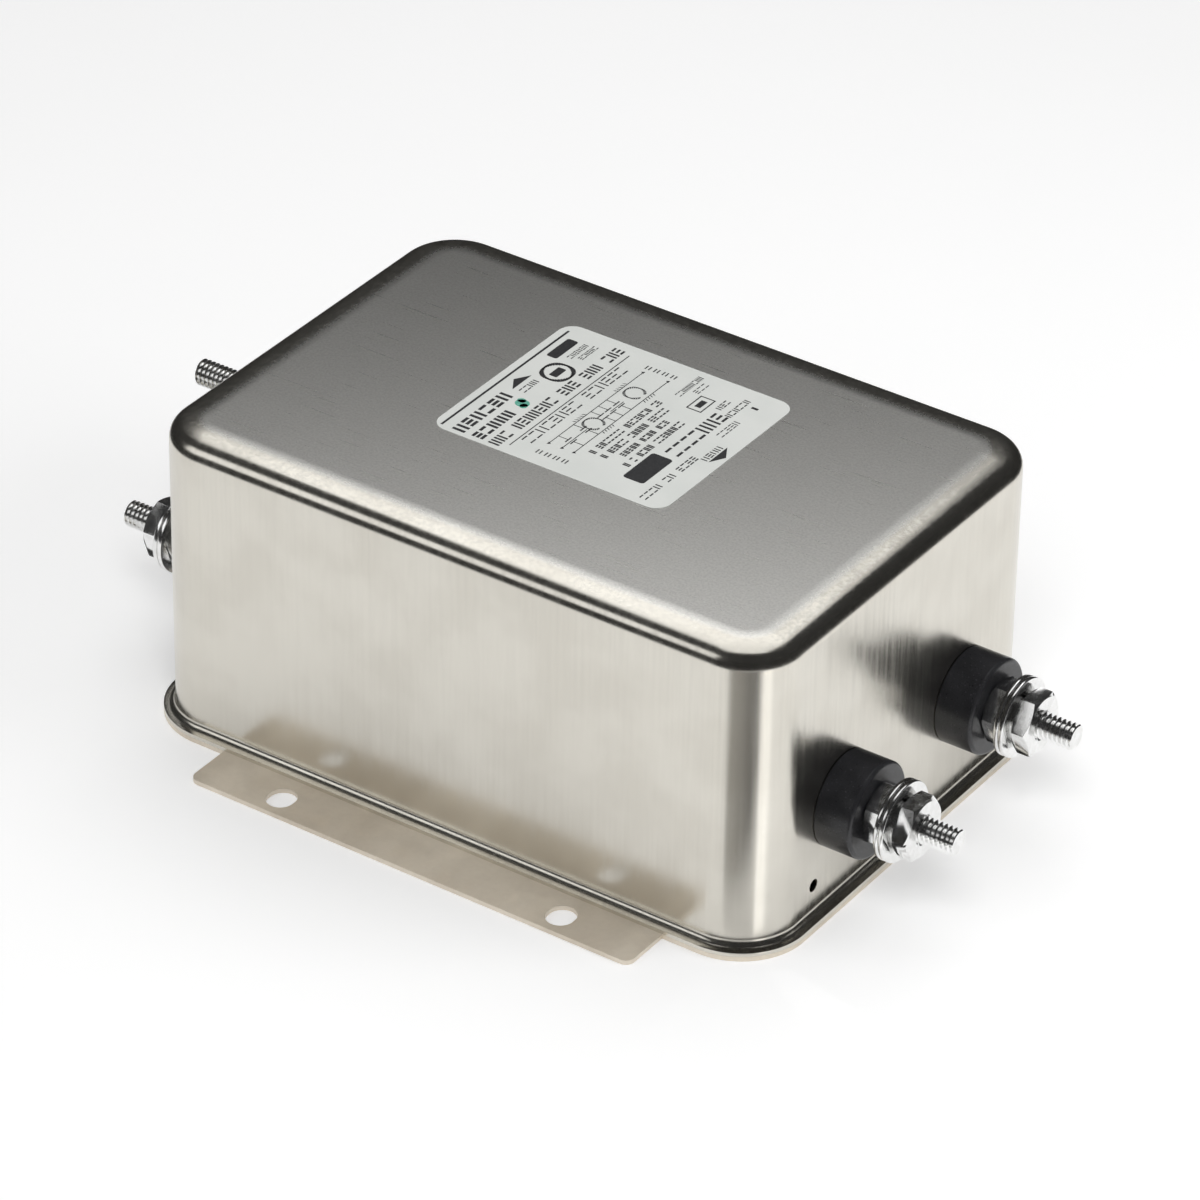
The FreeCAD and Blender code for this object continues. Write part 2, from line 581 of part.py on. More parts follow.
def main():
    os.makedirs("parts", exist_ok=True)
    export("case_can", can())
    export("base_plate", base_plate())
    export("label", rounded_plate(LABEL_LENGTH, LABEL_WIDTH, LABEL_CORNER_RADIUS, CAN_TOP,
                                  CAN_TOP + LABEL_THICKNESS, LABEL_SHIFT_X, LABEL_SHIFT_Y))

    # Line and load terminals, and the ground stud that seats on the bare wall
    jam_nuts, flat_washers, lock_washers, terminal_nuts = [], [], [], []
    stacks = []
    head_seat = END_WALL_INSIDE - INNER_INSULATOR_THICKNESS - LUG_SHEET
    for name, end, side, jam_turn, nut_turn in TERMINALS:
        y = side * TERMINAL_Y
        export("outer_insulator_" + name, outer_insulator(end, side))
        export("inner_insulator_" + name, inner_insulator(end, side))
        export("solder_lug_" + name, solder_lug(end, side))
        export("terminal_stud_" + name, stud(end, y, TERMINAL_Z, head_seat, END_WALL + STUD_REACH))
        stacks.append(hardware(end, y, TERMINAL_Z, END_WALL + INSULATOR_LENGTH, jam_turn, nut_turn))
    export("ground_lug", ground_lug())
    export("ground_stud", stud(-1, 0, GROUND_Z, END_WALL_INSIDE - LUG_SHEET,
                               END_WALL + GROUND_REACH))
    stacks.append(hardware(-1, 0, GROUND_Z, END_WALL, GROUND_JAM_NUT_TURN, GROUND_NUT_TURN))
    for jam, flats, lock, outer in stacks:
        jam_nuts.append(jam)
        flat_washers.extend(flats)
        lock_washers.append(lock)
        terminal_nuts.append(outer)
    export("jam_nuts", Part.makeCompound(jam_nuts))
    export("flat_washers", Part.makeCompound(flat_washers))
    export("lock_washers", Part.makeCompound(lock_washers))
    export("terminal_nuts", Part.makeCompound(terminal_nuts))

    # Chokes, one at each end, with a winding on each side
    export("base_sheet", rounded_plate(CAN_LENGTH - 2 * (CAN_SHEET + BASE_SHEET_MARGIN),
                                       CAN_WIDTH - 2 * (CAN_SHEET + BASE_SHEET_MARGIN),
                                       CAN_CORNER_RADIUS - CAN_SHEET - BASE_SHEET_MARGIN,
                                       BASE_TOP, SHEET_TOP))
    for end, end_name in ((-1, "line"), (1, "load")):
        export("choke_core_" + end_name, choke_core(end * CHOKE_X))
        export("choke_divider_" + end_name, divider(end * CHOKE_X))
        for side, number in ((-1, "1"), (1, "2")):
            export("winding_" + end_name + "_" + number, winding(end, side))
    for side, number in ((-1, "1"), (1, "2")):
        export("splice_" + number, splice(side))
        export("riser_pin_" + number, post(PIN_DIAMETER / 2, 0, side * TERMINAL_Y,
                                           WIRE_Z + SPLICE_DIAMETER / 2, BOARD_TOP + PIN_PAST_BOARD))

    # Circuit board and what it carries
    export("circuit_board", circuit_board())
    export("board_posts", Part.makeCompound(board_posts()))
    for sign, number in ((-1, "1"), (1, "2")):
        export("x_capacitor_" + number,
               capacitor(sign * X_CAPACITOR_OFFSET, 0, X_CAPACITOR_THICKNESS, X_CAPACITOR_LENGTH,
                         X_CAPACITOR_HEIGHT, X_CAPACITOR_PITCH))
        export("y_capacitor_" + number,
               capacitor(Y_CAPACITOR_X, sign * Y_CAPACITOR_Y, Y_CAPACITOR_THICKNESS,
                         Y_CAPACITOR_LENGTH, Y_CAPACITOR_HEIGHT, Y_CAPACITOR_PITCH))
    export("bleed_resistor", bleed_resistor())
    export("ground_wire", ground_wire())


main()
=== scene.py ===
import bpy
import bmesh
import math
import random
from mathutils import Matrix, Vector


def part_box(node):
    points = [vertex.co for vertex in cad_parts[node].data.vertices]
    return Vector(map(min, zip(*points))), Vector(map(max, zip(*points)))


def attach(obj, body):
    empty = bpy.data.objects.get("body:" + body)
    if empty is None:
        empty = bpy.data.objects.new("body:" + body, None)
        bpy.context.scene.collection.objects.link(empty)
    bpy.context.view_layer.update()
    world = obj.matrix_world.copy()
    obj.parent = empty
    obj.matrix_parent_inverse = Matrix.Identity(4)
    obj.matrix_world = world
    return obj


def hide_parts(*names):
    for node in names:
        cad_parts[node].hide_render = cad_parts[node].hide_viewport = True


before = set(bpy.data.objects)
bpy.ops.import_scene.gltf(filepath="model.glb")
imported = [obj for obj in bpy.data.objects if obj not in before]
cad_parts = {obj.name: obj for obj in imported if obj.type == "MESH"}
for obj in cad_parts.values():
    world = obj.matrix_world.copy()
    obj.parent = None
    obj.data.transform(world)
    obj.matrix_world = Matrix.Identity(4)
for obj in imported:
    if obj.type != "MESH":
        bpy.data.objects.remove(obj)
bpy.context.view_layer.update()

# A line filter in a drawn steel can on a flat base plate, with five threaded studs.
# Sizes here are in millimetres and MM turns them into the scene's metres. Angles are
# in degrees. +X points out of the load end, +Z is up, and the base plate lies on z = 0.
MM = 0.001
ROUND = 96

# Drawn can, its section followed from the brim up to the crown
CAN_LENGTH = 108.0
CAN_WIDTH = 73.7
CAN_SHEET = 0.6
CAN_CORNER = 9.2
CAN_TOP = 50.8
BASE_TOP = 0.8
BRIM_REACH = 1.8
BRIM_FILLET = 1.1
EDGE_RADIUS = 2.6
CROWN_RADIUS = 21.0
CROWN_ANGLE = 12.0
CORNER_STEPS = 28
END_WALL = CAN_LENGTH / 2
VENT_RADIUS = 1.0
VENT_Y = -22.75
VENT_Z = 6.3

# Base plate with its flanges and slots
FLANGE_LENGTH = 78.0
FLANGE_Y = 47.05
FLANGE_CORNER = 1.5
SLOT_WIDTH = 4.3
SLOT_LENGTH = 4.9
SLOT_X = 24.85
SLOT_Y = 43.3

# Label, and the place of its lower left corner when it is read
LABEL_LENGTH = 40.4
LABEL_WIDTH = 35.2
LABEL_CORNER = 2.6
LABEL_X = -20.65
LABEL_Y = -12.3
FILM_THICKNESS = 0.08
INK_THICKNESS = 0.02

# Studs, insulators, nuts and washers
TERMINAL_Y = 16.0
TERMINAL_Z = 17.8
GROUND_Z = 35.4
THREAD_PITCH = 0.794
THREAD_TOP = 2.083
THREAD_ROOT = 1.596
STUD_CHAMFER = 0.2
HEAD_THICKNESS = 2.8
INSULATOR_RADIUS = 7.45
INSULATOR_LENGTH = 6.1
INSULATOR_ROUNDING = 0.6
SPIGOT_RADIUS = 4.5
SPIGOT_DEPTH = 1.8
INSULATOR_BORE = 2.153
NUT_FLATS = 8.73
JAM_THICKNESS = 2.95
NUT_THICKNESS = 2.75
WASHER_RADIUS = 6.2
WASHER_BORE = 2.283
WASHER_THICKNESS = 0.8
WASHER_COUNT = 2
LOCK_RADIUS = 3.75
LOCK_THICKNESS = 0.4
LOCK_SPLIT = 0.6
LOCK_SLANT = 20.0

# How many turns below its seat a stud's thread starts
THREAD_LEAD = 2.37

# Each stud: name, end, y, z, where its stack starts, the turns of its jam nut and nut
STUDS = (
    ("line_1", -1, -TERMINAL_Y, TERMINAL_Z, END_WALL + INSULATOR_LENGTH, 52.0, 44.6),
    ("line_2", -1, TERMINAL_Y, TERMINAL_Z, END_WALL + INSULATOR_LENGTH, 12.0, 31.0),
    ("load_1", 1, -TERMINAL_Y, TERMINAL_Z, END_WALL + INSULATOR_LENGTH, 26.0, 0.0),
    ("load_2", 1, TERMINAL_Y, TERMINAL_Z, END_WALL + INSULATOR_LENGTH, 51.0, 54.3),
    ("ground", -1, 0.0, GROUND_Z, END_WALL, 10.0, 40.0),
)


def deselect():
    bpy.ops.object.select_all(action="DESELECT")


def activate(piece):
    deselect()
    piece.select_set(True)
    bpy.context.view_layer.objects.active = piece


def settle(piece):
    """Leaves a piece at the origin, unturned and unscaled, with its place in its mesh."""
    activate(piece)
    bpy.ops.object.transform_apply(location=True, rotation=True, scale=True)
    return piece


def started(name):
    """Names the primitive that was just added and settles it."""
    piece = bpy.context.active_object
    piece.name = name
    piece.data.name = name
    return settle(piece)


def open_mesh(piece, mode="VERT"):
    """Opens a piece in edit mode with all of it selected."""
    activate(piece)
    bpy.ops.object.mode_set(mode="EDIT")
    bpy.ops.mesh.select_mode(type=mode)
    bpy.ops.mesh.select_all(action="SELECT")


def close_mesh():
    bpy.ops.object.mode_set(mode="OBJECT")


def modify(piece, kind, **settings):
    """Adds a modifier with its settings and applies it."""
    activate(piece)
    modifier = piece.modifiers.new(kind.lower(), kind)
    for setting, value in settings.items():
        setattr(modifier, setting, value)
    bpy.ops.object.modifier_apply(modifier=modifier.name)
    return piece


def carve(piece, cutter, operation="DIFFERENCE"):
    """Cuts, joins or trims a piece with another one, which is used up."""
    modify(piece, "BOOLEAN", object=cutter, operation=operation, solver="EXACT")
    bpy.data.objects.remove(cutter)
    return piece


def round_edges(piece, width, angle=35.0, segments=2):
    """Rounds the edges that turn by more than an angle."""
    return modify(piece, "BEVEL", width=width * MM, segments=segments, limit_method="ANGLE",
                  angle_limit=math.radians(angle), harden_normals=False)


def smooth(piece, angle=32.0):
    """Smooth shading that keeps the flats flat and the sharp edges sharp."""
    activate(piece)
    bpy.ops.object.shade_smooth_by_angle(angle=math.radians(angle))
    return modify(piece, "WEIGHTED_NORMAL", weight=50, keep_sharp=True)


def copied(piece, name, shift=(0.0, 0.0, 0.0), turn=0.0, about="X"):
    """A copy with its own mesh, turned about an axis through the origin and then moved."""
    activate(piece)
    bpy.ops.object.duplicate(linked=False)
    made = bpy.context.active_object
    made.matrix_world = (Matrix.Translation(Vector(shift) * MM)
                         @ Matrix.Rotation(math.radians(turn), 4, about))
    return started(name)


def rounded_sheet(name, length, width, radius, z, x=0.0, y=0.0, steps=12):
    """A flat outline with round corners."""
    bpy.ops.mesh.primitive_plane_add(size=1, location=(x * MM, y * MM, z * MM))
    bpy.context.active_object.scale = (length * MM, width * MM, 1)
    piece = started(name)
    open_mesh(piece)
    bpy.ops.mesh.bevel(affect="VERTICES", offset=radius * MM, segments=steps, profile=0.5)
    close_mesh()
    return piece


def turned(name, profile, bored=True):
    """A piece turned about the X axis, drawn out ring by ring through (reach, radius) points."""
    reach, radius = profile[0]
    bpy.ops.mesh.primitive_circle_add(vertices=ROUND, radius=radius * MM,
                                      fill_type="NOTHING" if bored else "NGON",
                                      location=(reach * MM, 0, 0), rotation=(0, math.pi / 2, 0))
    piece = started(name)
    open_mesh(piece)
    for (reach, radius), (next_reach, next_radius) in zip(profile, profile[1:]):
        step = ((next_reach - reach) * MM, 0, 0)
        bpy.ops.mesh.extrude_region_move(TRANSFORM_OT_translate={"value": step})
        share = next_radius / radius
        bpy.ops.transform.resize(value=(1, share, share), center_override=(next_reach * MM, 0, 0))
    bpy.ops.mesh.select_all(action="SELECT")
    bpy.ops.mesh.remove_doubles(threshold=1e-6)
    bpy.ops.mesh.normals_make_consistent(inside=False)
    close_mesh()
    return piece


def bar_cutter(radius, x_from, x_to, y, z, sides=48):
    """A round bar along X that cuts a hole."""
    bpy.ops.mesh.primitive_cylinder_add(vertices=sides, radius=radius * MM,
                                        depth=(x_to - x_from) * MM,
                                        location=((x_from + x_to) / 2 * MM, y * MM, z * MM),
                                        rotation=(0, math.pi / 2, 0))
    return started("cutter")


def can_section():
    """The outer line of the can from its brim to its flat top, as (outward, height) points."""
    crown = math.radians(CROWN_ANGLE)
    brim_z = BASE_TOP + CAN_SHEET + BRIM_FILLET
    crown_u = -(CROWN_RADIUS * math.sin(crown) + EDGE_RADIUS * (1 - math.sin(crown)))
    edge_z = (CAN_TOP - CROWN_RADIUS * (1 - math.cos(crown)) - EDGE_RADIUS * math.cos(crown))
    points = [(BRIM_REACH, BASE_TOP + CAN_SHEET)]
    brim_steps, edge_steps, crown_steps = 8, 14, 10
    for step in range(brim_steps + 1):
        at = math.pi / 2 * step / brim_steps
        points.append((BRIM_FILLET * (1 - math.sin(at)), brim_z - BRIM_FILLET * math.cos(at)))
    for step in range(edge_steps + 1):
        at = math.pi / 2 + (crown - math.pi / 2) * step / edge_steps
        points.append((EDGE_RADIUS * (math.sin(at) - 1), edge_z + EDGE_RADIUS * math.cos(at)))
    for step in range(1, crown_steps + 1):
        at = crown * (1 - step / crown_steps)
        points.append((crown_u + CROWN_RADIUS * math.sin(at),
                       CAN_TOP - CROWN_RADIUS * (1 - math.cos(at))))
    return points


def can_shell():
    """The drawn can: its outline is inset and raised along the section, then given its wall."""
    section = can_section()
    reach, height = section[0]
    piece = rounded_sheet("can_shell", CAN_LENGTH + 2 * reach, CAN_WIDTH + 2 * reach,
                          CAN_CORNER + reach, height, steps=CORNER_STEPS)
    open_mesh(piece, "FACE")
    for (reach, height), (next_reach, next_height) in zip(section, section[1:]):
        rise = (0, 0, (next_height - height) * MM)
        if abs(next_reach - reach) < 1e-6:
            bpy.ops.mesh.extrude_region_move(TRANSFORM_OT_translate={"value": rise})
        else:
            bpy.ops.mesh.inset(thickness=(reach - next_reach) * MM, depth=0, use_even_offset=True)
            bpy.ops.transform.translate(value=rise)
    close_mesh()
    modify(piece, "SOLIDIFY", thickness=CAN_SHEET * MM, offset=-1, use_even_offset=True)
    past = 3.0
    for name, end, y, z, _, _, _ in STUDS:
        radius = SPIGOT_RADIUS if name != "ground" else INSULATOR_BORE
        low, high = sorted((end * (END_WALL - past), end * (END_WALL + past)))
        carve(piece, bar_cutter(radius, low, high, y, z, ROUND))
    carve(piece, bar_cutter(VENT_RADIUS, END_WALL - past, END_WALL + past, VENT_Y, VENT_Z))
    round_edges(piece, width=0.07, angle=50.0)
    return smooth(piece)


def base_plate():
    """The base plate: a sheet under the brim joined with the sheet of both flanges."""
    reach = 2 * BRIM_REACH
    sheets = (("base_plate_sheet", CAN_LENGTH + reach, CAN_WIDTH + reach, CAN_CORNER + BRIM_REACH),
              ("flanges", FLANGE_LENGTH, 2 * FLANGE_Y, FLANGE_CORNER))
    piece, flanges = [rounded_sheet(*sheet, BASE_TOP, steps=20) for sheet in sheets]
    for sheet in (piece, flanges):
        modify(sheet, "SOLIDIFY", thickness=BASE_TOP * MM, offset=-1)
    carve(piece, flanges, "UNION")
    past = 1.0
    for sign_x in (-1, 1):
        for sign_y in (-1, 1):
            cutter = rounded_sheet("cutter", SLOT_WIDTH, SLOT_LENGTH, SLOT_WIDTH / 2 - 0.001,
                                   BASE_TOP + past, sign_x * SLOT_X, sign_y * SLOT_Y, 16)
            modify(cutter, "SOLIDIFY", thickness=(BASE_TOP + 2 * past) * MM, offset=-1)
            carve(piece, cutter)
    round_edges(piece, width=0.13, angle=50.0, segments=3)
    return smooth(piece)


def outer_insulator():
    """The bushing of a line or load stud, about the X axis, with its moulding stub below."""
    tip = END_WALL + INSULATOR_LENGTH
    rounding = []
    steps = 8
    for step in range(steps + 1):
        at = math.pi / 2 * step / steps
        rounding.append((tip - INSULATOR_ROUNDING * (1 - math.cos(at)),
                         INSULATOR_RADIUS - INSULATOR_ROUNDING * (1 - math.sin(at))))
    foot = 0.15
    profile = [(tip, INSULATOR_BORE)] + rounding + [
        (END_WALL + foot, INSULATOR_RADIUS), (END_WALL, INSULATOR_RADIUS - foot),
        (END_WALL, SPIGOT_RADIUS), (END_WALL - SPIGOT_DEPTH, SPIGOT_RADIUS),
        (END_WALL - SPIGOT_DEPTH, INSULATOR_BORE), (tip, INSULATOR_BORE)]
    piece = turned("insulator", profile)
    stub_radius, stub_reach = 0.4, 1.2
    stub_top, stub_bottom = -INSULATOR_RADIUS + 0.6, -INSULATOR_RADIUS - 0.5
    bpy.ops.mesh.primitive_cylinder_add(vertices=32, radius=stub_radius * MM,
                                        depth=(stub_top - stub_bottom) * MM,
                                        location=((END_WALL + stub_reach) * MM, 0,
                                                  (stub_top + stub_bottom) / 2 * MM))
    stub = started("stub")
    carve(piece, round_edges(stub, width=0.08), "UNION")
    return smooth(piece)


def hexagon(name, x_from, x_to):
    """A hexagonal bar about the X axis, its first corner towards +Y."""
    corner = NUT_FLATS / math.sqrt(3)
    bpy.ops.mesh.primitive_cylinder_add(vertices=6, radius=corner * MM, depth=(x_to - x_from) * MM,
                                        location=((x_from + x_to) / 2 * MM, 0, 0),
                                        rotation=(0, math.pi / 2, 0))
    return started(name)


def hex_nut(name, thickness):
    """A nut that starts at x = 0: chamfered corners, a countersunk bore and rolled edges."""
    corner = NUT_FLATS / math.sqrt(3)
    face = NUT_FLATS / 2 - 0.05
    slope = math.tan(math.radians(30.0))
    over = 0.4
    drop = (corner + over - face) * slope
    piece = hexagon(name, 0.0, thickness)
    envelope = turned("envelope", [(0.0, face), (drop, corner + over),
                                   (thickness - drop, corner + over), (thickness, face)], False)
    carve(piece, envelope, "INTERSECT")
    mouth, depth, bore = 2.5, 0.4, THREAD_ROOT + 0.1
    drill = turned("drill", [(-depth, mouth + depth), (depth * 1.5, bore),
                             (thickness - depth * 1.5, bore), (thickness + depth, mouth + depth)],
                   False)
    carve(piece, drill)
    round_edges(piece, width=0.09, angle=22.0)
    return smooth(piece, 40.0)


def flat_washer():
    """A washer from x = 0 with a rolled outer edge and an eased bore."""
    lip = 0.14
    profile = [(0, WASHER_BORE + lip), (0, WASHER_RADIUS - lip),
               (lip * 0.4, WASHER_RADIUS - lip * 0.3),
               (lip * 1.3, WASHER_RADIUS), (WASHER_THICKNESS - lip * 1.3, WASHER_RADIUS),
               (WASHER_THICKNESS - lip * 0.4, WASHER_RADIUS - lip * 0.3),
               (WASHER_THICKNESS, WASHER_RADIUS - lip), (WASHER_THICKNESS, WASHER_BORE + lip),
               (WASHER_THICKNESS - lip, WASHER_BORE), (lip, WASHER_BORE), (0, WASHER_BORE + lip)]
    return smooth(turned("washer", profile), 50.0)


def lock_washer():
    """A split ring from x = 0, its slanting gap at the top."""
    ring = turned("lock", [(0, WASHER_BORE), (0, LOCK_RADIUS), (LOCK_THICKNESS, LOCK_RADIUS),
                           (LOCK_THICKNESS, WASHER_BORE), (0, WASHER_BORE)])
    gap_depth, gap_height = 4.0, 6.0
    bpy.ops.mesh.primitive_cube_add(size=1,
                                    location=(LOCK_THICKNESS / 2 * MM, 0, gap_height / 2 * MM),
                                    rotation=(0, 0, math.radians(LOCK_SLANT)))
    bpy.context.active_object.scale = (gap_depth * MM, LOCK_SPLIT * MM, gap_height * MM)
    gap = started("gap")
    carve(ring, gap)
    round_edges(ring, width=0.07, angle=40.0)
    return smooth(ring, 40.0)


def threaded_stud(name, seat, tip):
    """A stud about the X axis: a rolled thread from its seat to a chamfered tip, and its head."""
    flank = (THREAD_TOP - THREAD_ROOT) * math.tan(math.radians(30.0))
    crest = THREAD_PITCH / 8
    root = THREAD_PITCH - crest - 2 * flank
    ease = 0.05
    line = [(0, THREAD_ROOT), (root, THREAD_ROOT),
            (root + flank - ease, THREAD_TOP - 1.4 * ease), (root + flank + ease * 0.6, THREAD_TOP),
            (root + flank + crest - ease * 0.6, THREAD_TOP),
            (root + flank + crest + ease, THREAD_TOP - 1.4 * ease), (THREAD_PITCH, THREAD_ROOT)]
    start = seat - THREAD_LEAD * THREAD_PITCH
    bpy.ops.mesh.primitive_plane_add(size=0.1 * MM, location=(start * MM, 0, THREAD_ROOT * MM))
    piece = started(name)
    open_mesh(piece)
    bpy.ops.mesh.merge(type="CENTER")
    for (reach, radius), (next_reach, next_radius) in zip(line, line[1:]):
        step = ((next_reach - reach) * MM, 0, (next_radius - radius) * MM)
        bpy.ops.mesh.extrude_vertices_move(TRANSFORM_OT_translate={"value": step})
    close_mesh()
    turns = math.ceil((tip - start) / THREAD_PITCH) + 2
    modify(piece, "SCREW", axis="X", angle=2 * math.pi, screw_offset=THREAD_PITCH * MM,
           iterations=turns, steps=48, render_steps=48)
    open_mesh(piece)
    bpy.ops.mesh.remove_doubles(threshold=1e-6)
    bpy.ops.mesh.select_all(action="DESELECT")
    bpy.ops.mesh.select_non_manifold()
    bpy.ops.mesh.fill_holes(sides=0)
    bpy.ops.mesh.select_all(action="SELECT")
    bpy.ops.mesh.normals_make_consistent(inside=False)
    close_mesh()
    chamfer = STUD_CHAMFER * 1.5
    envelope = turned("envelope", [(seat, THREAD_TOP + 0.3), (tip - chamfer, THREAD_TOP + 0.1),
                                   (tip, THREAD_TOP - STUD_CHAMFER)], False)
    carve(piece, envelope, "INTERSECT")
    head = hexagon("head", seat - HEAD_THICKNESS, seat + 0.01)
    carve(piece, round_edges(head, width=0.1), "UNION")
    return smooth(piece, 35.0)


def label_film():
    """The label's white film, laid on the flat top."""
    piece = rounded_sheet("label_film_sheet", LABEL_LENGTH, LABEL_WIDTH, LABEL_CORNER,
                          CAN_TOP + FILM_THICKNESS, LABEL_X + LABEL_LENGTH / 2,
                          LABEL_Y + LABEL_WIDTH / 2, 16)
    modify(piece, "SOLIDIFY", thickness=FILM_THICKNESS * MM, offset=-1)
    round_edges(piece, width=0.03)
    return smooth(piece)


class Print:
    """Flat marks on the label, placed by (down, along) distances from its upper left corner.

    Down runs from the line end towards the load end and along is the reading direction.
    """

    def __init__(self, name):
        bpy.ops.mesh.primitive_plane_add(size=0.1 * MM, location=(0, 0, self.height()))
        self.piece = started(name)
        open_mesh(self.piece)
        bpy.ops.mesh.delete(type="VERT")

    @staticmethod
    def height():
        return (CAN_TOP + FILM_THICKNESS + INK_THICKNESS) * MM

    @staticmethod
    def place(down, along):
        return ((LABEL_X + down) * MM, (LABEL_Y + along) * MM, Print.height())

    def block(self, down, along, down_to, along_to, radius=0.0):
        """A bar between two corners, with round ends where a radius is given."""
        middle = self.place((down + down_to) / 2, (along + along_to) / 2)
        bpy.ops.mesh.primitive_plane_add(size=1, location=middle)
        bpy.ops.transform.resize(value=((down_to - down) * MM, (along_to - along) * MM, 1),
                                 center_override=middle)
        if radius:
            bpy.ops.mesh.bevel(affect="VERTICES", offset=radius * MM, segments=3, profile=0.5)

    def stroke(self, down, along, down_to, along_to, width):
        """A straight line of a given width in any direction."""
        middle = self.place((down + down_to) / 2, (along + along_to) / 2)
        length = math.hypot(down_to - down, along_to - along)
        turn = math.atan2(along_to - along, down_to - down)
        bpy.ops.mesh.primitive_plane_add(size=1, location=middle, rotation=(0, 0, turn))
        bearing = Matrix.Rotation(turn, 3, "Z")
        bpy.ops.transform.resize(value=((length + width) * MM, width * MM, 1),
                                 orient_matrix=bearing.transposed(), orient_type="LOCAL",
                                 orient_matrix_type="LOCAL", center_override=middle)

    def disc(self, down, along, radius, sides, squeeze=1.0, turn=0.0):
        """A filled disc, or a triangle where it has three sides."""
        bpy.ops.mesh.primitive_circle_add(vertices=sides, radius=radius * MM, fill_type="NGON",
                                          location=self.place(down, along),
                                          rotation=(0, 0, math.radians(turn)))
        if squeeze != 1.0:
            bpy.ops.transform.resize(value=(1, squeeze, 1),
                                     center_override=self.place(down, along))

    def ring(self, down, along, radius, width, sides=40, arc=(0.0, 360.0)):
        """A ring, or an open arc that starts at a bearing and sweeps through an angle."""
        start, sweep = arc
        steps = max(3, round(sides * sweep / 360.0))
        for step in range(steps):
            at = math.radians(start + sweep * step / steps)
            to = math.radians(start + sweep * (step + 1) / steps)
            self.stroke(down + radius * math.cos(at), along + radius * math.sin(at),
                        down + radius * math.cos(to), along + radius * math.sin(to), width)

    def arrow(self, down, along, height, width):
        """A triangle whose base is at a distance down and whose point is a height away."""
        bpy.ops.mesh.primitive_plane_add(size=1, location=self.place(down + height / 2, along))
        bpy.ops.transform.resize(value=(height * MM, width * MM, 1),
                                 center_override=self.place(down + height / 2, along))
        mesh = bmesh.from_edit_mesh(self.piece.data)
        point = self.place(down + height, along)[0]
        for corner in mesh.verts:
            corner.select_set(corner.select and abs(corner.co.x - point) < 0.01 * MM)
        mesh.select_flush(True)
        bmesh.update_edit_mesh(self.piece.data)
        bpy.ops.mesh.merge(type="CENTER")

    def row(self, down, down_to, along, along_to, marks, weight, gaps=()):
        """A row of plain marks, each a pair of short bars in its own cell."""
        pitch = (along_to - along) / marks
        for mark in range(marks):
            if mark in gaps:
                continue
            start = along + pitch * mark
            end = start + pitch * 0.74
            kind = SPREAD.choice(("upright", "level", "level", "upright", "solid"))
            if kind == "upright":
                self.block(down, start, down_to, start + weight)
                self.block(down, end - weight, down_to, end)
            elif kind == "level":
                self.block(down, start, down + weight, end)
                self.block(down_to - weight, start, down_to, end)
            else:
                middle = (down + down_to) / 2
                self.block(down, start, down + weight, end)
                self.block(middle - weight / 2, start, middle + weight / 2, end)
                self.block(down_to - weight, start, down_to, end)

    def done(self):
        """Gives the marks a thickness that sinks into the film, and closes the mesh."""
        bpy.ops.mesh.select_all(action="SELECT")
        down = (0, 0, -1.5 * INK_THICKNESS * MM)
        bpy.ops.mesh.extrude_region_move(TRANSFORM_OT_translate={"value": down})
        bpy.ops.mesh.select_all(action="SELECT")
        bpy.ops.mesh.normals_make_consistent(inside=False)
        close_mesh()
        return self.piece


SPREAD = random.Random(7)


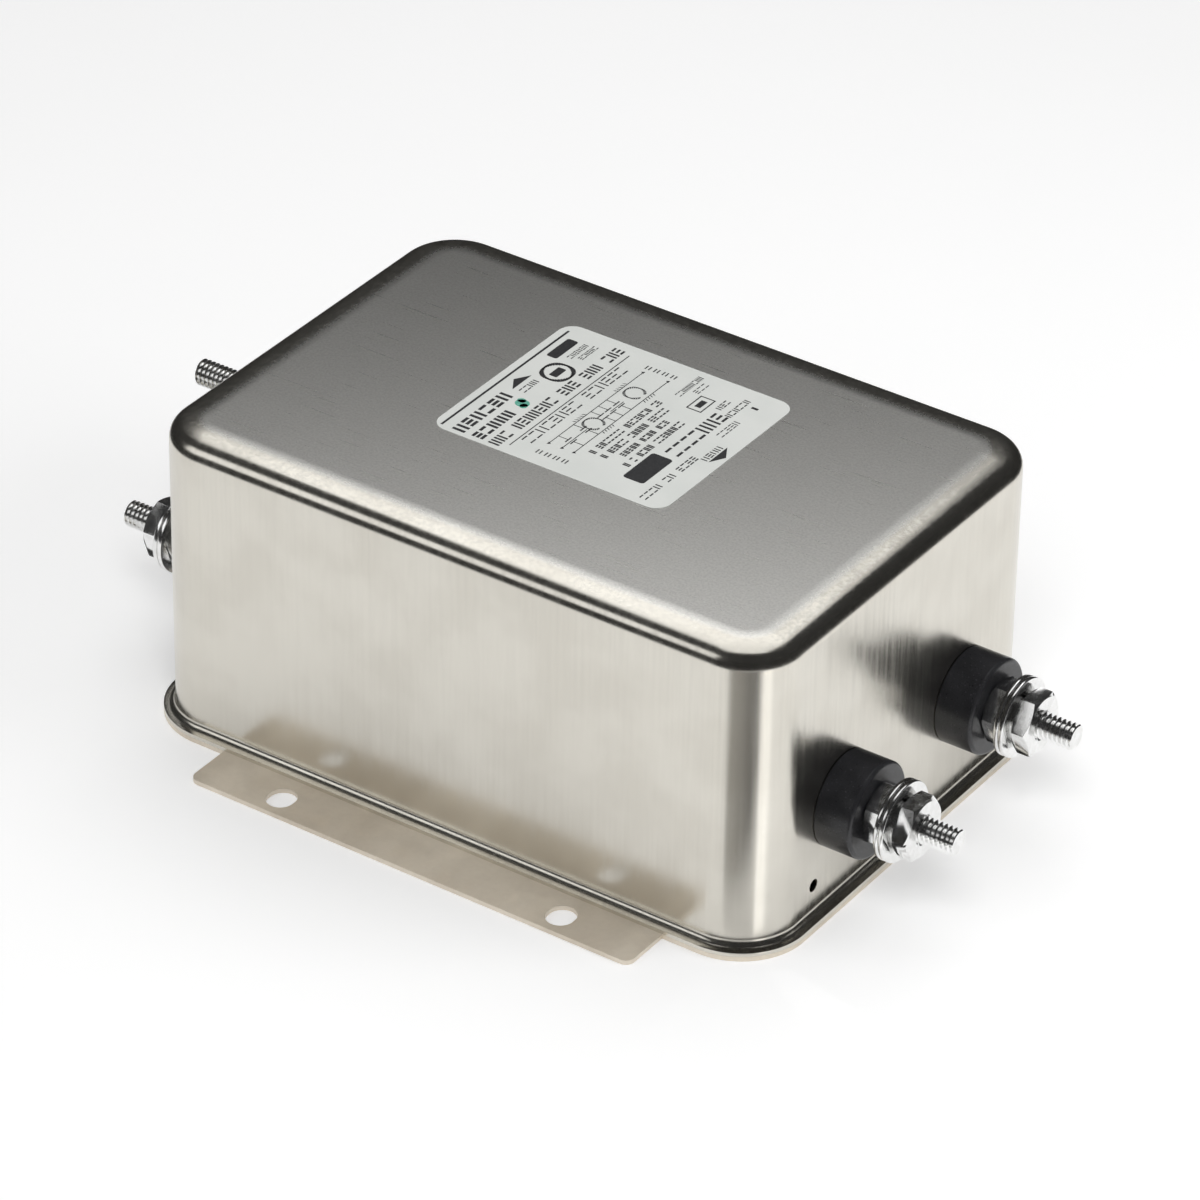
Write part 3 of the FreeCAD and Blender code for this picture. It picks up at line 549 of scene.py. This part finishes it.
def label_print():
    """Plain marks in the places of the label's rows, with a simple circuit sketch."""
    ink = Print("label_print")
    ink.block(1.25, 0.95, 1.62, 33.2)
    ink.block(12.62, 2.1, 12.78, 32.6)
    ink.arrow(4.2, 17.25, -1.5, 4.8)
    ink.row(5.1, 6.2, 15.1, 19.1, 4, 0.2)
    ink.row(3.3, 5.5, 0.9, 13.8, 6, 0.52)
    ink.row(6.7, 8.7, 1.0, 10.0, 5, 0.5)
    ink.row(9.7, 11.6, 0.9, 33.6, 23, 0.36, (3, 11, 15, 19))
    ink.row(13.2, 15.0, 4.3, 29.4, 15, 0.24, (8,))
    # Plain stand-ins for the marks at the upper right
    ink.block(2.6, 25.6, 4.5, 31.4, 0.4)
    ink.ring(6.8, 22.6, 2.35, 0.34)
    ink.block(6.1, 21.3, 7.5, 23.9, 0.2)
    ink.row(5.4, 6.3, 26.9, 31.6, 6, 0.16)
    ink.row(6.9, 7.8, 27.6, 32.0, 6, 0.16)
    # Circuit diagram of two chokes between capacitors
    line = 0.13
    for down in (17.0, 21.4):
        ink.stroke(down, 5.8, down, 29.9, line)
    ink.stroke(19.3, 5.8, 19.3, 12.0, line)
    ink.stroke(19.3, 18.2, 19.3, 21.4, line)
    for along in (8.2, 12.0, 16.4, 18.3, 20.4):
        ink.stroke(17.0, along, 18.6, along, line)
        ink.stroke(19.8, along, 21.4, along, line)
        ink.stroke(18.75, along - 0.7, 18.75, along + 0.7, 0.2)
        ink.stroke(19.65, along - 0.7, 19.65, along + 0.7, 0.2)
    for along in (13.9, 24.4):
        ink.ring(19.2, along, 1.55, 0.17, 36, (20.0, 320.0))
        for step in range(5):
            ink.stroke(16.85, along - 1.2 + 0.6 * step, 16.45, along - 1.0 + 0.6 * step, line)
            ink.stroke(21.55, along - 1.2 + 0.6 * step, 21.95, along - 1.0 + 0.6 * step, line)
    for down in (17.0, 19.3, 21.4):
        ink.disc(down, 5.8, 0.36, 3, 1.0, 270.0)
    for down in (17.0, 21.4):
        ink.disc(down, 29.9, 0.36, 3, 1.0, 90.0)
    for step in range(4):
        ink.block(16.8 + 1.5 * step, 2.6, 17.0 + 1.5 * step, 3.6)
        ink.block(17.4 + 1.5 * step, 2.6, 17.6 + 1.5 * step, 3.6)
        ink.block(16.5 + 1.5 * step, 30.9, 16.7 + 1.5 * step, 31.9)
        ink.block(17.1 + 1.5 * step, 30.9, 17.3 + 1.5 * step, 31.9)
    # Rows of values, marks and the load arrow below the diagram
    ink.row(22.9, 24.1, 7.2, 24.8, 20, 0.27, (1, 9, 17))
    ink.row(24.9, 26.1, 7.2, 23.6, 19, 0.27, (1, 7, 13))
    ink.row(26.9, 28.0, 9.2, 20.9, 14, 0.27, (5, 10))
    ink.row(28.8, 30.0, 7.2, 21.9, 17, 0.27, (1, 3, 8))
    ink.row(24.2, 25.2, 27.5, 33.9, 9, 0.16)
    ink.row(25.9, 26.9, 29.6, 32.8, 3, 0.16)
    for corner, opposite in (((27.6, 25.6), (27.6, 29.4)), ((30.0, 25.6), (30.0, 29.4)),
                             ((27.6, 25.6), (30.0, 25.6)), ((27.6, 29.4), (30.0, 29.4))):
        ink.stroke(*corner, *opposite, 0.2)
    ink.block(28.3, 26.5, 29.3, 28.5)
    ink.row(31.1, 32.1, 27.8, 30.7, 3, 0.2)
    ink.row(33.3, 34.4, 26.9, 32.5, 6, 0.2)
    ink.block(35.3, 30.8, 36.4, 31.3)
    ink.row(31.8, 34.2, 13.6, 27.2, 7, 0.42)
    ink.block(30.6, 4.6, 34.2, 12.4, 0.5)
    ink.row(35.7, 36.9, 1.4, 15.2, 12, 0.22, (4, 7))
    ink.row(35.3, 36.4, 21.7, 26.7, 5, 0.17)
    ink.row(37.1, 38.2, 15.0, 19.6, 4, 0.2)
    ink.arrow(38.5, 17.4, 1.4, 4.9)
    return ink.done()


def green_dot():
    """The inspector's ink dot, dabbed unevenly over a plain disc."""
    dot = Print("green_dot")
    dot.disc(7.6, 12.5, 1.15, 24, 0.86, 20.0)
    dot.disc(7.1, 13.1, 0.72, 18, 0.8, 50.0)
    dot.disc(8.2, 12.0, 0.6, 18, 1.1, 10.0)
    return dot.done()


# Materials
class Wire:
    """One value in a material. Plus, minus and times add the Math node that they name."""

    def __init__(self, finish, socket):
        self.finish = finish
        self.socket = socket

    def math(self, operation, first, second):
        return self.finish.node("Math", {"operation": operation}, {0: first, 1: second})

    def __add__(self, other):
        return self.math("ADD", self, other)

    def __radd__(self, other):
        return self.math("ADD", other, self)

    def __sub__(self, other):
        return self.math("SUBTRACT", self, other)

    def __rsub__(self, other):
        return self.math("SUBTRACT", other, self)

    def __mul__(self, other):
        return self.math("MULTIPLY", self, other)

    def __rmul__(self, other):
        return self.math("MULTIPLY", other, self)


class Finish:
    """A material: its maths is written as expressions and its other nodes come from node()."""

    def __init__(self, name):
        self.material = bpy.data.materials.new(name)
        self.material.use_nodes = True
        self.tree = self.material.node_tree
        self.tree.nodes.clear()
        place = self.node("TexCoord", out="Object")
        self.place = self.node("Mapping", None, {"Vector": place, "Scale": (1000, 1000, 1000)})
        self.shader = self.tree.nodes.new("ShaderNodeBsdfPrincipled")
        output = self.tree.nodes.new("ShaderNodeOutputMaterial")
        self.tree.links.new(self.shader.outputs[0], output.inputs[0])

    def node(self, kind, settings=None, values=None, out=0):
        """Adds a node, sets it, gives its sockets their values or links and returns an output."""
        made = self.tree.nodes.new("ShaderNode" + kind)
        for setting, value in (settings or {}).items():
            setattr(made, setting, value)
        for socket, value in (values or {}).items():
            self.put(made.inputs[socket], value)
        return Wire(self, made.outputs[out])

    def put(self, socket, value):
        """Links a socket to a value in the material, or gives it a number or a colour."""
        if isinstance(value, Wire):
            self.tree.links.new(value.socket, socket)
        elif socket.type == "RGBA":
            socket.default_value = (*value, 1)
        else:
            socket.default_value = value

    def noise(self, per_mm, detail=2.0, stretch=(1, 1, 1), rough=0.5):
        """Noise from 0 to 1 with a grain of so many per millimetre, squeezed along each axis."""
        place = self.node("VectorMath", {"operation": "MULTIPLY"}, {0: self.place, 1: stretch})
        return self.node("TexNoise", None, {"Vector": place, "Scale": per_mm, "Detail": detail,
                                            "Roughness": rough}, "Fac")

    def between(self, value, low, high):
        """Takes a value's range from low to high smoothly onto 0 to 1, and holds it there."""
        return self.node("MapRange", {"clamp": True, "interpolation_type": "SMOOTHSTEP"},
                         {"Value": value, "From Min": low, "From Max": high})

    def blend(self, share, first, second):
        """Mixes two colours by a share of the second."""
        return self.node("Mix", {"data_type": "RGBA"}, {0: share, 6: first, 7: second}, 2)

    def bump(self, height, depth, strength):
        """A bump whose full height is a depth in millimetres."""
        return self.node("Bump", None,
                         {"Strength": strength, "Distance": depth * MM, "Height": height})

    def axis(self, which):
        """One coordinate of a point on the piece, in millimetres."""
        return self.node("SeparateXYZ", None, {0: self.place}, which)

    def surface(self, **values):
        """Sets the shader's sockets, named with _ for a space, and returns the material."""
        for name, value in values.items():
            self.put(self.shader.inputs[name.replace("_", " ")], value)
        return self.material


def drawn_steel():
    """Plated sheet steel: a satin grain on the flat top, ironed bright down the drawn walls."""
    f = Finish("drawn_steel")
    height = f.axis("Z")
    flat = f.between(height, 50.66, 50.79)
    wall = (1 - flat) * f.between(height, 1.2, 5.0)
    grain = f.noise(2.6, 4.0, rough=0.7)
    mottle = f.between(grain, 0.38, 0.64)
    cloud = f.noise(0.09, 3.0)
    streak = f.noise(1.6, 3.0, (1, 1, 0.03))
    specks = f.between(f.noise(3.2, 1.0), 0.70, 0.76)
    scratch = f.between(f.noise(1.1, 2.0, (0.06, 2.4, 1)), 0.66, 0.74)
    colour = f.blend(f.between(cloud, 0.35, 0.65), (0.645, 0.618, 0.555), (0.692, 0.666, 0.602))
    colour = f.blend(flat, colour, (0.80, 0.79, 0.755))
    colour = f.blend(mottle * flat * 0.5, colour, (0.52, 0.515, 0.49))
    colour = f.blend(specks * 0.35, colour, (0.88, 0.87, 0.85))
    wall_rough = 0.20 + 0.07 * f.between(streak, 0.3, 0.7)
    top_rough = 0.276 + 0.03 * mottle - 0.03 * scratch
    rough = wall_rough * (1 - flat) + top_rough * flat
    relief = grain * (0.02 + 0.98 * flat * flat) + streak * wall * 0.08
    return f.surface(Base_Color=colour, Metallic=1.0, Roughness=rough,
                     Normal=f.bump(relief, 0.012, 0.8))


def plated_sheet():
    """The base plate's dull plating, mottled and a little warmer than the can."""
    f = Finish("plated_sheet")
    mottle = f.noise(0.5, 4.0, rough=0.6)
    bands = f.between(f.noise(0.07, 2.0, (1, 0.15, 1)), 0.35, 0.65)
    dirt = f.between(f.noise(0.16, 3.0), 0.45, 0.7)
    share = f.between(mottle, 0.3, 0.7) * 0.4 + bands * 0.6
    colour = f.blend(share, (0.70, 0.62, 0.51), (0.90, 0.82, 0.70))
    colour = f.blend(dirt * 0.2, colour, (0.58, 0.50, 0.40))
    rough = 0.34 + 0.12 * f.between(mottle, 0.3, 0.7)
    return f.surface(Base_Color=colour, Metallic=0.55, Roughness=rough,
                     Normal=f.bump(f.noise(3.0, 3.0), 0.006, 0.6))


def label_paper():
    """Satin white film, a little uneven in tone."""
    f = Finish("label_paper")
    fibre = f.noise(2.5, 4.0)
    tone = f.between(f.noise(0.12, 2.0), 0.35, 0.65)
    colour = f.blend(tone, (0.73, 0.75, 0.72), (0.765, 0.78, 0.75))
    return f.surface(Base_Color=colour, Roughness=0.42 + 0.1 * fibre,
                     Normal=f.bump(f.noise(1.2, 3.0), 0.01, 0.35))


def ink(name, colour, lighter):
    """Printed ink, a little uneven in its cover."""
    f = Finish(name)
    cover = f.between(f.noise(3.0, 3.0), 0.35, 0.7)
    return f.surface(Base_Color=f.blend(cover, colour, lighter), Roughness=0.38 + 0.15 * cover,
                     Normal=f.bump(f.noise(6.0, 2.0), 0.004, 0.5))


def moulding(name, dark, light, rough):
    """A moulded plastic: a fine spark grain with a few pale specks."""
    f = Finish(name)
    grain = f.noise(5.0, 3.0, rough=0.6)
    specks = f.between(f.noise(4.0, 1.0), 0.68, 0.74)
    colour = f.blend(f.between(f.noise(0.35, 3.0), 0.35, 0.7) * 0.6, dark, light)
    colour = f.blend(specks * 0.5, colour, tuple(min(1.0, 3.0 * part + 0.04) for part in light))
    return f.surface(Base_Color=colour, Roughness=rough + 0.10 * f.between(grain, 0.3, 0.7),
                     Normal=f.bump(grain, 0.008, 0.6))


def zinc():
    """Bright zinc plating with a faint bloom and tiny pits."""
    f = Finish("bright_zinc")
    bloom = f.noise(0.8, 3.0)
    pits = f.between(f.noise(4.0, 2.0), 0.62, 0.72)
    colour = f.blend(f.between(bloom, 0.35, 0.65), (0.80, 0.80, 0.79), (0.88, 0.88, 0.875))
    colour = f.blend(pits * 0.3, colour, (0.55, 0.55, 0.55))
    return f.surface(Base_Color=colour, Metallic=1.0,
                     Roughness=0.13 + 0.09 * f.between(bloom, 0.3, 0.7) + 0.08 * pits,
                     Normal=f.bump(f.noise(3.0, 3.0), 0.005, 0.5))


def tinned(name):
    """Tinned or soldered metal that has flowed and set."""
    f = Finish(name)
    flow = f.noise(0.7, 3.0)
    colour = f.blend(flow, (0.68, 0.67, 0.64), (0.82, 0.81, 0.78))
    return f.surface(Base_Color=colour, Metallic=1.0, Roughness=0.25 + 0.2 * flow,
                     Normal=f.bump(flow, 0.03, 0.5))


def enamelled_copper():
    """Winding wire under its clear enamel."""
    f = Finish("enamelled_copper")
    wave = f.noise(0.6, 3.0)
    colour = f.blend(wave, (0.55, 0.20, 0.07), (0.70, 0.32, 0.13))
    return f.surface(Base_Color=colour, Metallic=1.0, Roughness=0.22 + 0.12 * wave,
                     Coat_Weight=0.6, Coat_Roughness=0.12, Normal=f.bump(wave, 0.02, 0.5))


def ferrite():
    """A pressed and fired core, dark and gritty."""
    f = Finish("ferrite")
    grit = f.noise(3.0, 4.0, rough=0.7)
    colour = f.blend(grit, (0.025, 0.027, 0.03), (0.07, 0.07, 0.075))
    return f.surface(Base_Color=colour, Roughness=0.55 + 0.2 * grit, Normal=f.bump(grit, 0.05, 0.8))


def fibre_board(name, first, second):
    """Pressed fibre sheet with a faint weave."""
    f = Finish(name)
    weave = f.noise(1.6, 2.0, (1, 0.2, 1)) * 0.5 + f.noise(1.6, 2.0, (0.2, 1, 1)) * 0.5
    return f.surface(Base_Color=f.blend(weave, first, second), Roughness=0.5 + 0.2 * weave,
                     Normal=f.bump(weave, 0.03, 0.6))


def resistor_paint():
    """The painted body of a resistor, with plain coloured rings along Y."""
    f = Finish("resistor_paint")
    tone = f.noise(1.0, 2.0)
    bands = f.between(f.node("Math", {"operation": "PINGPONG"}, {0: f.axis("Y") + 4.5, 1: 0.9}),
                      0.55, 0.62)
    colour = f.blend(tone, (0.62, 0.50, 0.33), (0.72, 0.60, 0.42))
    colour = f.blend(bands, colour, (0.30, 0.10, 0.05))
    return f.surface(Base_Color=colour, Roughness=0.35 + 0.1 * tone, Normal=f.bump(tone, 0.02, 0.4))


def inside_finishes():
    """The finish of each kind of piece inside the can, by the start of its nodes' names."""
    nylon = moulding("white_nylon", (0.78, 0.77, 0.72), (0.84, 0.83, 0.79), 0.40)
    return {
        "inner_insulator": moulding("brown_phenolic", (0.10, 0.05, 0.03), (0.16, 0.08, 0.05), 0.42),
        "solder_lug": tinned("tinned_metal"),
        "ground_lug": tinned("tinned_lug"),
        "splice": tinned("solder"),
        "riser_pin": tinned("tinned_pin"),
        "choke_core": ferrite(),
        "winding": enamelled_copper(),
        "choke_divider": fibre_board("fish_paper", (0.34, 0.36, 0.38), (0.46, 0.48, 0.50)),
        "base_sheet": fibre_board("base_fibre", (0.40, 0.35, 0.26), (0.52, 0.46, 0.36)),
        "circuit_board": fibre_board("glass_board", (0.05, 0.20, 0.09), (0.09, 0.29, 0.14)),
        "board_posts": nylon,
        "x_capacitor": moulding("yellow_case", (0.72, 0.52, 0.07), (0.80, 0.60, 0.12), 0.34),
        "y_capacitor": moulding("blue_case", (0.05, 0.16, 0.42), (0.08, 0.22, 0.52), 0.30),
        "bleed_resistor": resistor_paint(),
        "ground_wire": moulding("green_wire", (0.05, 0.30, 0.08), (0.09, 0.38, 0.12), 0.35),
    }


def dress(piece, material):
    """Gives a piece one finish all over."""
    piece.data.materials.clear()
    piece.data.materials.append(material)
    return piece


def stand_in(piece, node, material):
    """Puts a finished piece in the place of a node, with its finish."""
    dress(piece, material)
    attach(piece, "root")
    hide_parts(node)


def build_body():
    """The can, its base plate and its label with the print on it."""
    steel = drawn_steel()
    stand_in(can_shell(), "case_can", steel)
    stand_in(base_plate(), "base_plate", plated_sheet())
    stand_in(label_film(), "label", label_paper())
    stand_in(label_print(), "label",
             ink("black_ink", (0.012, 0.012, 0.014), (0.03, 0.03, 0.032)))
    stand_in(green_dot(), "label",
             ink("green_ink", (0.07, 0.38, 0.27), (0.20, 0.52, 0.42)))


def build_terminals():
    """Models each kind of terminal piece once and sets a copy on every stud."""
    black = moulding("black_moulding", (0.018, 0.018, 0.02), (0.030, 0.030, 0.033), 0.27)
    metal = zinc()
    insulator = outer_insulator()
    kinds = {"jam_nuts": hex_nut("jam", JAM_THICKNESS), "flat_washers": flat_washer(),
             "lock_washers": lock_washer(), "terminal_nuts": hex_nut("nut", NUT_THICKNESS)}
    patterns = [insulator] + list(kinds.values())
    studs = {}
    for name, end, y, z, start, jam_turn, nut_turn in STUDS:
        node = "ground_stud" if name == "ground" else "terminal_stud_" + name
        low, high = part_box(node)
        inner = (low.x if end > 0 else -high.x) / MM
        tip = (high.x if end > 0 else -low.x) / MM
        length = round(tip - inner, 3)
        if length not in studs:
            studs[length] = threaded_stud("stud_" + str(len(studs)), inner + HEAD_THICKNESS, tip)
            patterns.append(studs[length])
        half_turn = 0.0 if end > 0 else 180.0
        stud = copied(studs[length], node + "_thread", (0, y, z), half_turn, "Z")
        stand_in(stud, node, metal)
        if name != "ground":
            bushing = copied(insulator, "bushing_" + name, (0, y, z), half_turn, "Z")
            stand_in(bushing, "outer_insulator_" + name, black)
        stack = [("jam_nuts", JAM_THICKNESS, jam_turn)]
        stack += [("flat_washers", WASHER_THICKNESS, 0.0)] * WASHER_COUNT
        stack += [("lock_washers", LOCK_THICKNESS, 0.0), ("terminal_nuts", NUT_THICKNESS, nut_turn)]
        at = start
        for number, (kind, thickness, turn) in enumerate(stack):
            x = at if end > 0 else -at - thickness
            part = copied(kinds[kind], kind[:-1] + "_" + name + "_" + str(number), (x, y, z), turn)
            stand_in(part, kind, metal)
            at += thickness
    for pattern in patterns:
        bpy.data.objects.remove(pattern)


def build_inside():
    """Dresses the nodes inside the can, which keep their CAD shapes."""
    finishes = inside_finishes()
    for name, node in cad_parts.items():
        for start, material in finishes.items():
            if name.startswith(start):
                dress(node, material)


# Studio. Its camera and lamps are placed in metres.
CAMERA_AZIMUTH = 34.07557
CAMERA_ELEVATION = 33.34597
CAMERA_ROLL = 0.95629
CAMERA_DISTANCE = 0.948197
CAMERA_SHIFT_RIGHT = 0.0013707
CAMERA_SHIFT_UP = 0.0182020
LENS = 191.293

# The height that the lamps face
LAMP_AIM = 0.03

# Each soft box: name, bearing from +Y towards -X, elevation, distance, width, height, radiance,
# and whether the metal mirrors it. One that isn't mirrored only lights the part and the floor.
LAMPS = (
    ("key_box", 34, 50, 0.45, 0.305, 0.13, 1.5, True),
    ("top_box", 34, 73, 0.75, 0.50, 0.48, 1.1, True),
    ("side_strip", 142, 31, 0.50, 0.32, 0.21, 1.15, True),
    ("front_fill", 212, 50, 0.90, 0.30, 0.30, 8.8, False),
    ("right_fill", 285, 35, 0.40, 0.20, 0.20, 4.0, False),
)

# The room's brightness: white up to a height over the horizon, dark above it, and the even
# level that lights the dull surfaces
ROOM_WHITE_TO = 0.36
ROOM_DARK_FROM = 0.42
ROOM_WHITE = 0.98
ROOM_DARK = 0.04
ROOM_FILL = 0.28
FLOOR_GLOW = 0.28

# The graded card: the corner it spreads from, how far it reaches, between which bearings, and the
# glow of its edge, a painted highlight
CARD_CORNER = (48.0, -32.0)
CARD_REACH = (10.0, 150.0)
CARD_BEARINGS = (2.0, 78.0)
CARD_GLOW = 0.8

# The dark tray round the table
TRAY_LENGTH = 1240.0
TRAY_WIDTH = 1200.0
TRAY_CORNER = 560.0
TRAY_HEIGHT = 330.0
TRAY_FLOOR = 430.0


def place_camera():
    """The photograph's view, through a long lens."""
    azimuth, elevation, roll = (math.radians(angle) for angle in
                                (CAMERA_AZIMUTH, CAMERA_ELEVATION, CAMERA_ROLL))
    back = Vector((math.sin(azimuth) * math.cos(elevation),
                   -math.cos(azimuth) * math.cos(elevation), math.sin(elevation)))
    right = Vector((0, 0, 1)).cross(back).normalized()
    up = back.cross(right)
    level = math.cos(roll) * right + math.sin(roll) * up
    rise = math.cos(roll) * up - math.sin(roll) * right
    lens = bpy.data.cameras.new("camera")
    lens.lens = LENS
    lens.sensor_width = 36.0
    lens.clip_start = 0.01
    lens.clip_end = 20.0
    camera = bpy.data.objects.new("camera", lens)
    bpy.context.scene.collection.objects.link(camera)
    place = back * CAMERA_DISTANCE + level * CAMERA_SHIFT_RIGHT + rise * CAMERA_SHIFT_UP
    turn = Matrix((level, rise, back)).transposed()
    camera.matrix_world = Matrix.Translation(place) @ turn.to_4x4()
    bpy.context.scene.camera = camera


def lamp(name, azimuth, elevation, distance, width, height, radiance, mirrored):
    """A soft box that faces the part."""
    bearing, rise = math.radians(azimuth), math.radians(elevation)
    away = Vector((-math.sin(bearing) * math.cos(rise), math.cos(bearing) * math.cos(rise),
                   math.sin(rise)))
    light = bpy.data.lights.new(name, "AREA")
    light.shape = "RECTANGLE"
    light.size = width
    light.size_y = height
    light.energy = radiance * math.pi * width * height
    box = bpy.data.objects.new(name, light)
    bpy.context.scene.collection.objects.link(box)
    box.matrix_world = (Matrix.Translation(Vector((0, 0, LAMP_AIM)) + away * distance)
                        @ away.to_track_quat("Z", "Y").to_matrix().to_4x4())
    box.visible_camera = False
    box.visible_glossy = mirrored


def light_studio():
    """Soft boxes round the part, in a room that is white near the horizon and dark above."""
    for box in LAMPS:
        lamp(*box)
    world = bpy.data.worlds.new("studio")
    bpy.context.scene.world = world
    world.use_nodes = True
    nodes, links = world.node_tree.nodes, world.node_tree.links
    nodes.clear()
    place = nodes.new("ShaderNodeTexCoord")
    split = nodes.new("ShaderNodeSeparateXYZ")
    links.new(place.outputs["Generated"], split.inputs[0])
    room = nodes.new("ShaderNodeMapRange")
    room.interpolation_type = "SMOOTHSTEP"
    for socket, value in (("From Min", ROOM_WHITE_TO), ("From Max", ROOM_DARK_FROM),
                          ("To Min", ROOM_WHITE), ("To Max", ROOM_DARK)):
        room.inputs[socket].default_value = value
    links.new(split.outputs["Z"], room.inputs["Value"])
    path = nodes.new("ShaderNodeLightPath")
    mix = nodes.new("ShaderNodeMix")
    links.new(path.outputs["Is Diffuse Ray"], mix.inputs[0])
    links.new(room.outputs[0], mix.inputs[2])
    mix.inputs[3].default_value = ROOM_FILL
    back = nodes.new("ShaderNodeBackground")
    links.new(mix.outputs[0], back.inputs["Strength"])
    output = nodes.new("ShaderNodeOutputWorld")
    links.new(back.outputs[0], output.inputs[0])


def lay_floor():
    """A pale floor that looks white where the lamps reach it and keeps the part's shadow."""
    size, below = 8.0, 0.02
    bpy.ops.mesh.primitive_plane_add(size=size, location=(0, 0, -below * MM))
    floor = started("floor")
    f = Finish("pale_floor")
    dust = f.noise(0.02, 2.0)
    seen = 0.0
    for ray in ("Is Camera Ray", "Is Glossy Ray", "Is Transmission Ray"):
        seen = seen + f.node("LightPath", out=ray)
    glow = f.blend(seen, (0.0, 0.0, 0.0), (1.0, 1.0, 1.0))
    f.surface(Base_Color=f.blend(dust, (0.88, 0.88, 0.88), (0.90, 0.90, 0.90)), Roughness=0.9,
              Emission_Color=glow, Emission_Strength=FLOOR_GLOW)
    dress(floor, f.material)


def reflected_only(card, material):
    """Stages a card that takes no part in the scene but in mirrored light."""
    card.visible_camera = False
    card.visible_diffuse = False
    card.visible_shadow = False
    dress(card, material)


def lay_flag():
    """A graded card in front of the near corner, seen only in the reflections of the metal. Its
    glowing edge paints a highlight strip into them.
    """
    corner_x, corner_y = CARD_CORNER
    over_floor = 0.05
    bpy.ops.mesh.primitive_plane_add(size=1, location=(0, 0, 0))
    card = started("graded_flag")
    places = [(reach, bearing) for reach in CARD_REACH for bearing in CARD_BEARINGS]
    for vertex, (reach, bearing) in zip(card.data.vertices, places):
        angle = math.radians(bearing)
        vertex.co = Vector((corner_x + reach * math.sin(angle),
                            corner_y - reach * math.cos(angle), over_floor)) * MM
    f = Finish("graded_flag")
    white = (0.88, 0.88, 0.88)
    ahead = corner_y - f.axis("Y")
    slant = f.node("Math", {"operation": "DIVIDE"}, {0: f.axis("X") - corner_x, 1: ahead})
    # Painted highlight: between these slants the card is white and glows strongly, so the corner
    # mirrors a bright strip beside the dark grade; the rest of the card glows faintly.
    edge = f.between(slant, 1.5, 1.75)
    tone = f.blend(f.between(slant, 0.0, 1.3), (0.36, 0.35, 0.33), (0.07, 0.068, 0.065))
    tone = f.blend(edge, tone, white)
    f.surface(Base_Color=f.blend(f.between(ahead, 10.0, 28.0), white, tone), Roughness=0.9,
              Emission_Color=f.blend(edge, (0.1, 0.1, 0.1), (1.0, 1.0, 1.0)),
              Emission_Strength=CARD_GLOW)
    reflected_only(card, f.material)


def lay_surround():
    """The dark room round the white table: a tray that only the reflections of the metal show."""
    tray = rounded_sheet("dark_surround", TRAY_LENGTH, TRAY_WIDTH, TRAY_CORNER, TRAY_HEIGHT)
    open_mesh(tray, "FACE")
    over_floor = 0.07
    down = (0, 0, (over_floor - TRAY_HEIGHT) * MM)
    bpy.ops.mesh.extrude_region_move(TRANSFORM_OT_translate={"value": down})
    bpy.ops.mesh.inset(thickness=TRAY_FLOOR * MM, depth=0)
    bpy.ops.mesh.delete(type="FACE")
    close_mesh()
    for face in tray.data.polygons:
        face.select = face.center.z > 0.9 * TRAY_HEIGHT * MM
    bpy.ops.object.mode_set(mode="EDIT")
    bpy.ops.mesh.delete(type="FACE")
    close_mesh()
    f = Finish("dark_surround")
    cloth = f.noise(0.05, 2.0)
    f.surface(Base_Color=f.blend(cloth, (0.03, 0.03, 0.03), (0.045, 0.044, 0.043)), Roughness=0.9)
    reflected_only(tray, f.material)


def main():
    deselect()
    build_body()
    build_terminals()
    build_inside()
    place_camera()
    light_studio()
    lay_floor()
    lay_flag()
    lay_surround()
    bpy.context.scene.view_settings.view_transform = "Standard"


main()
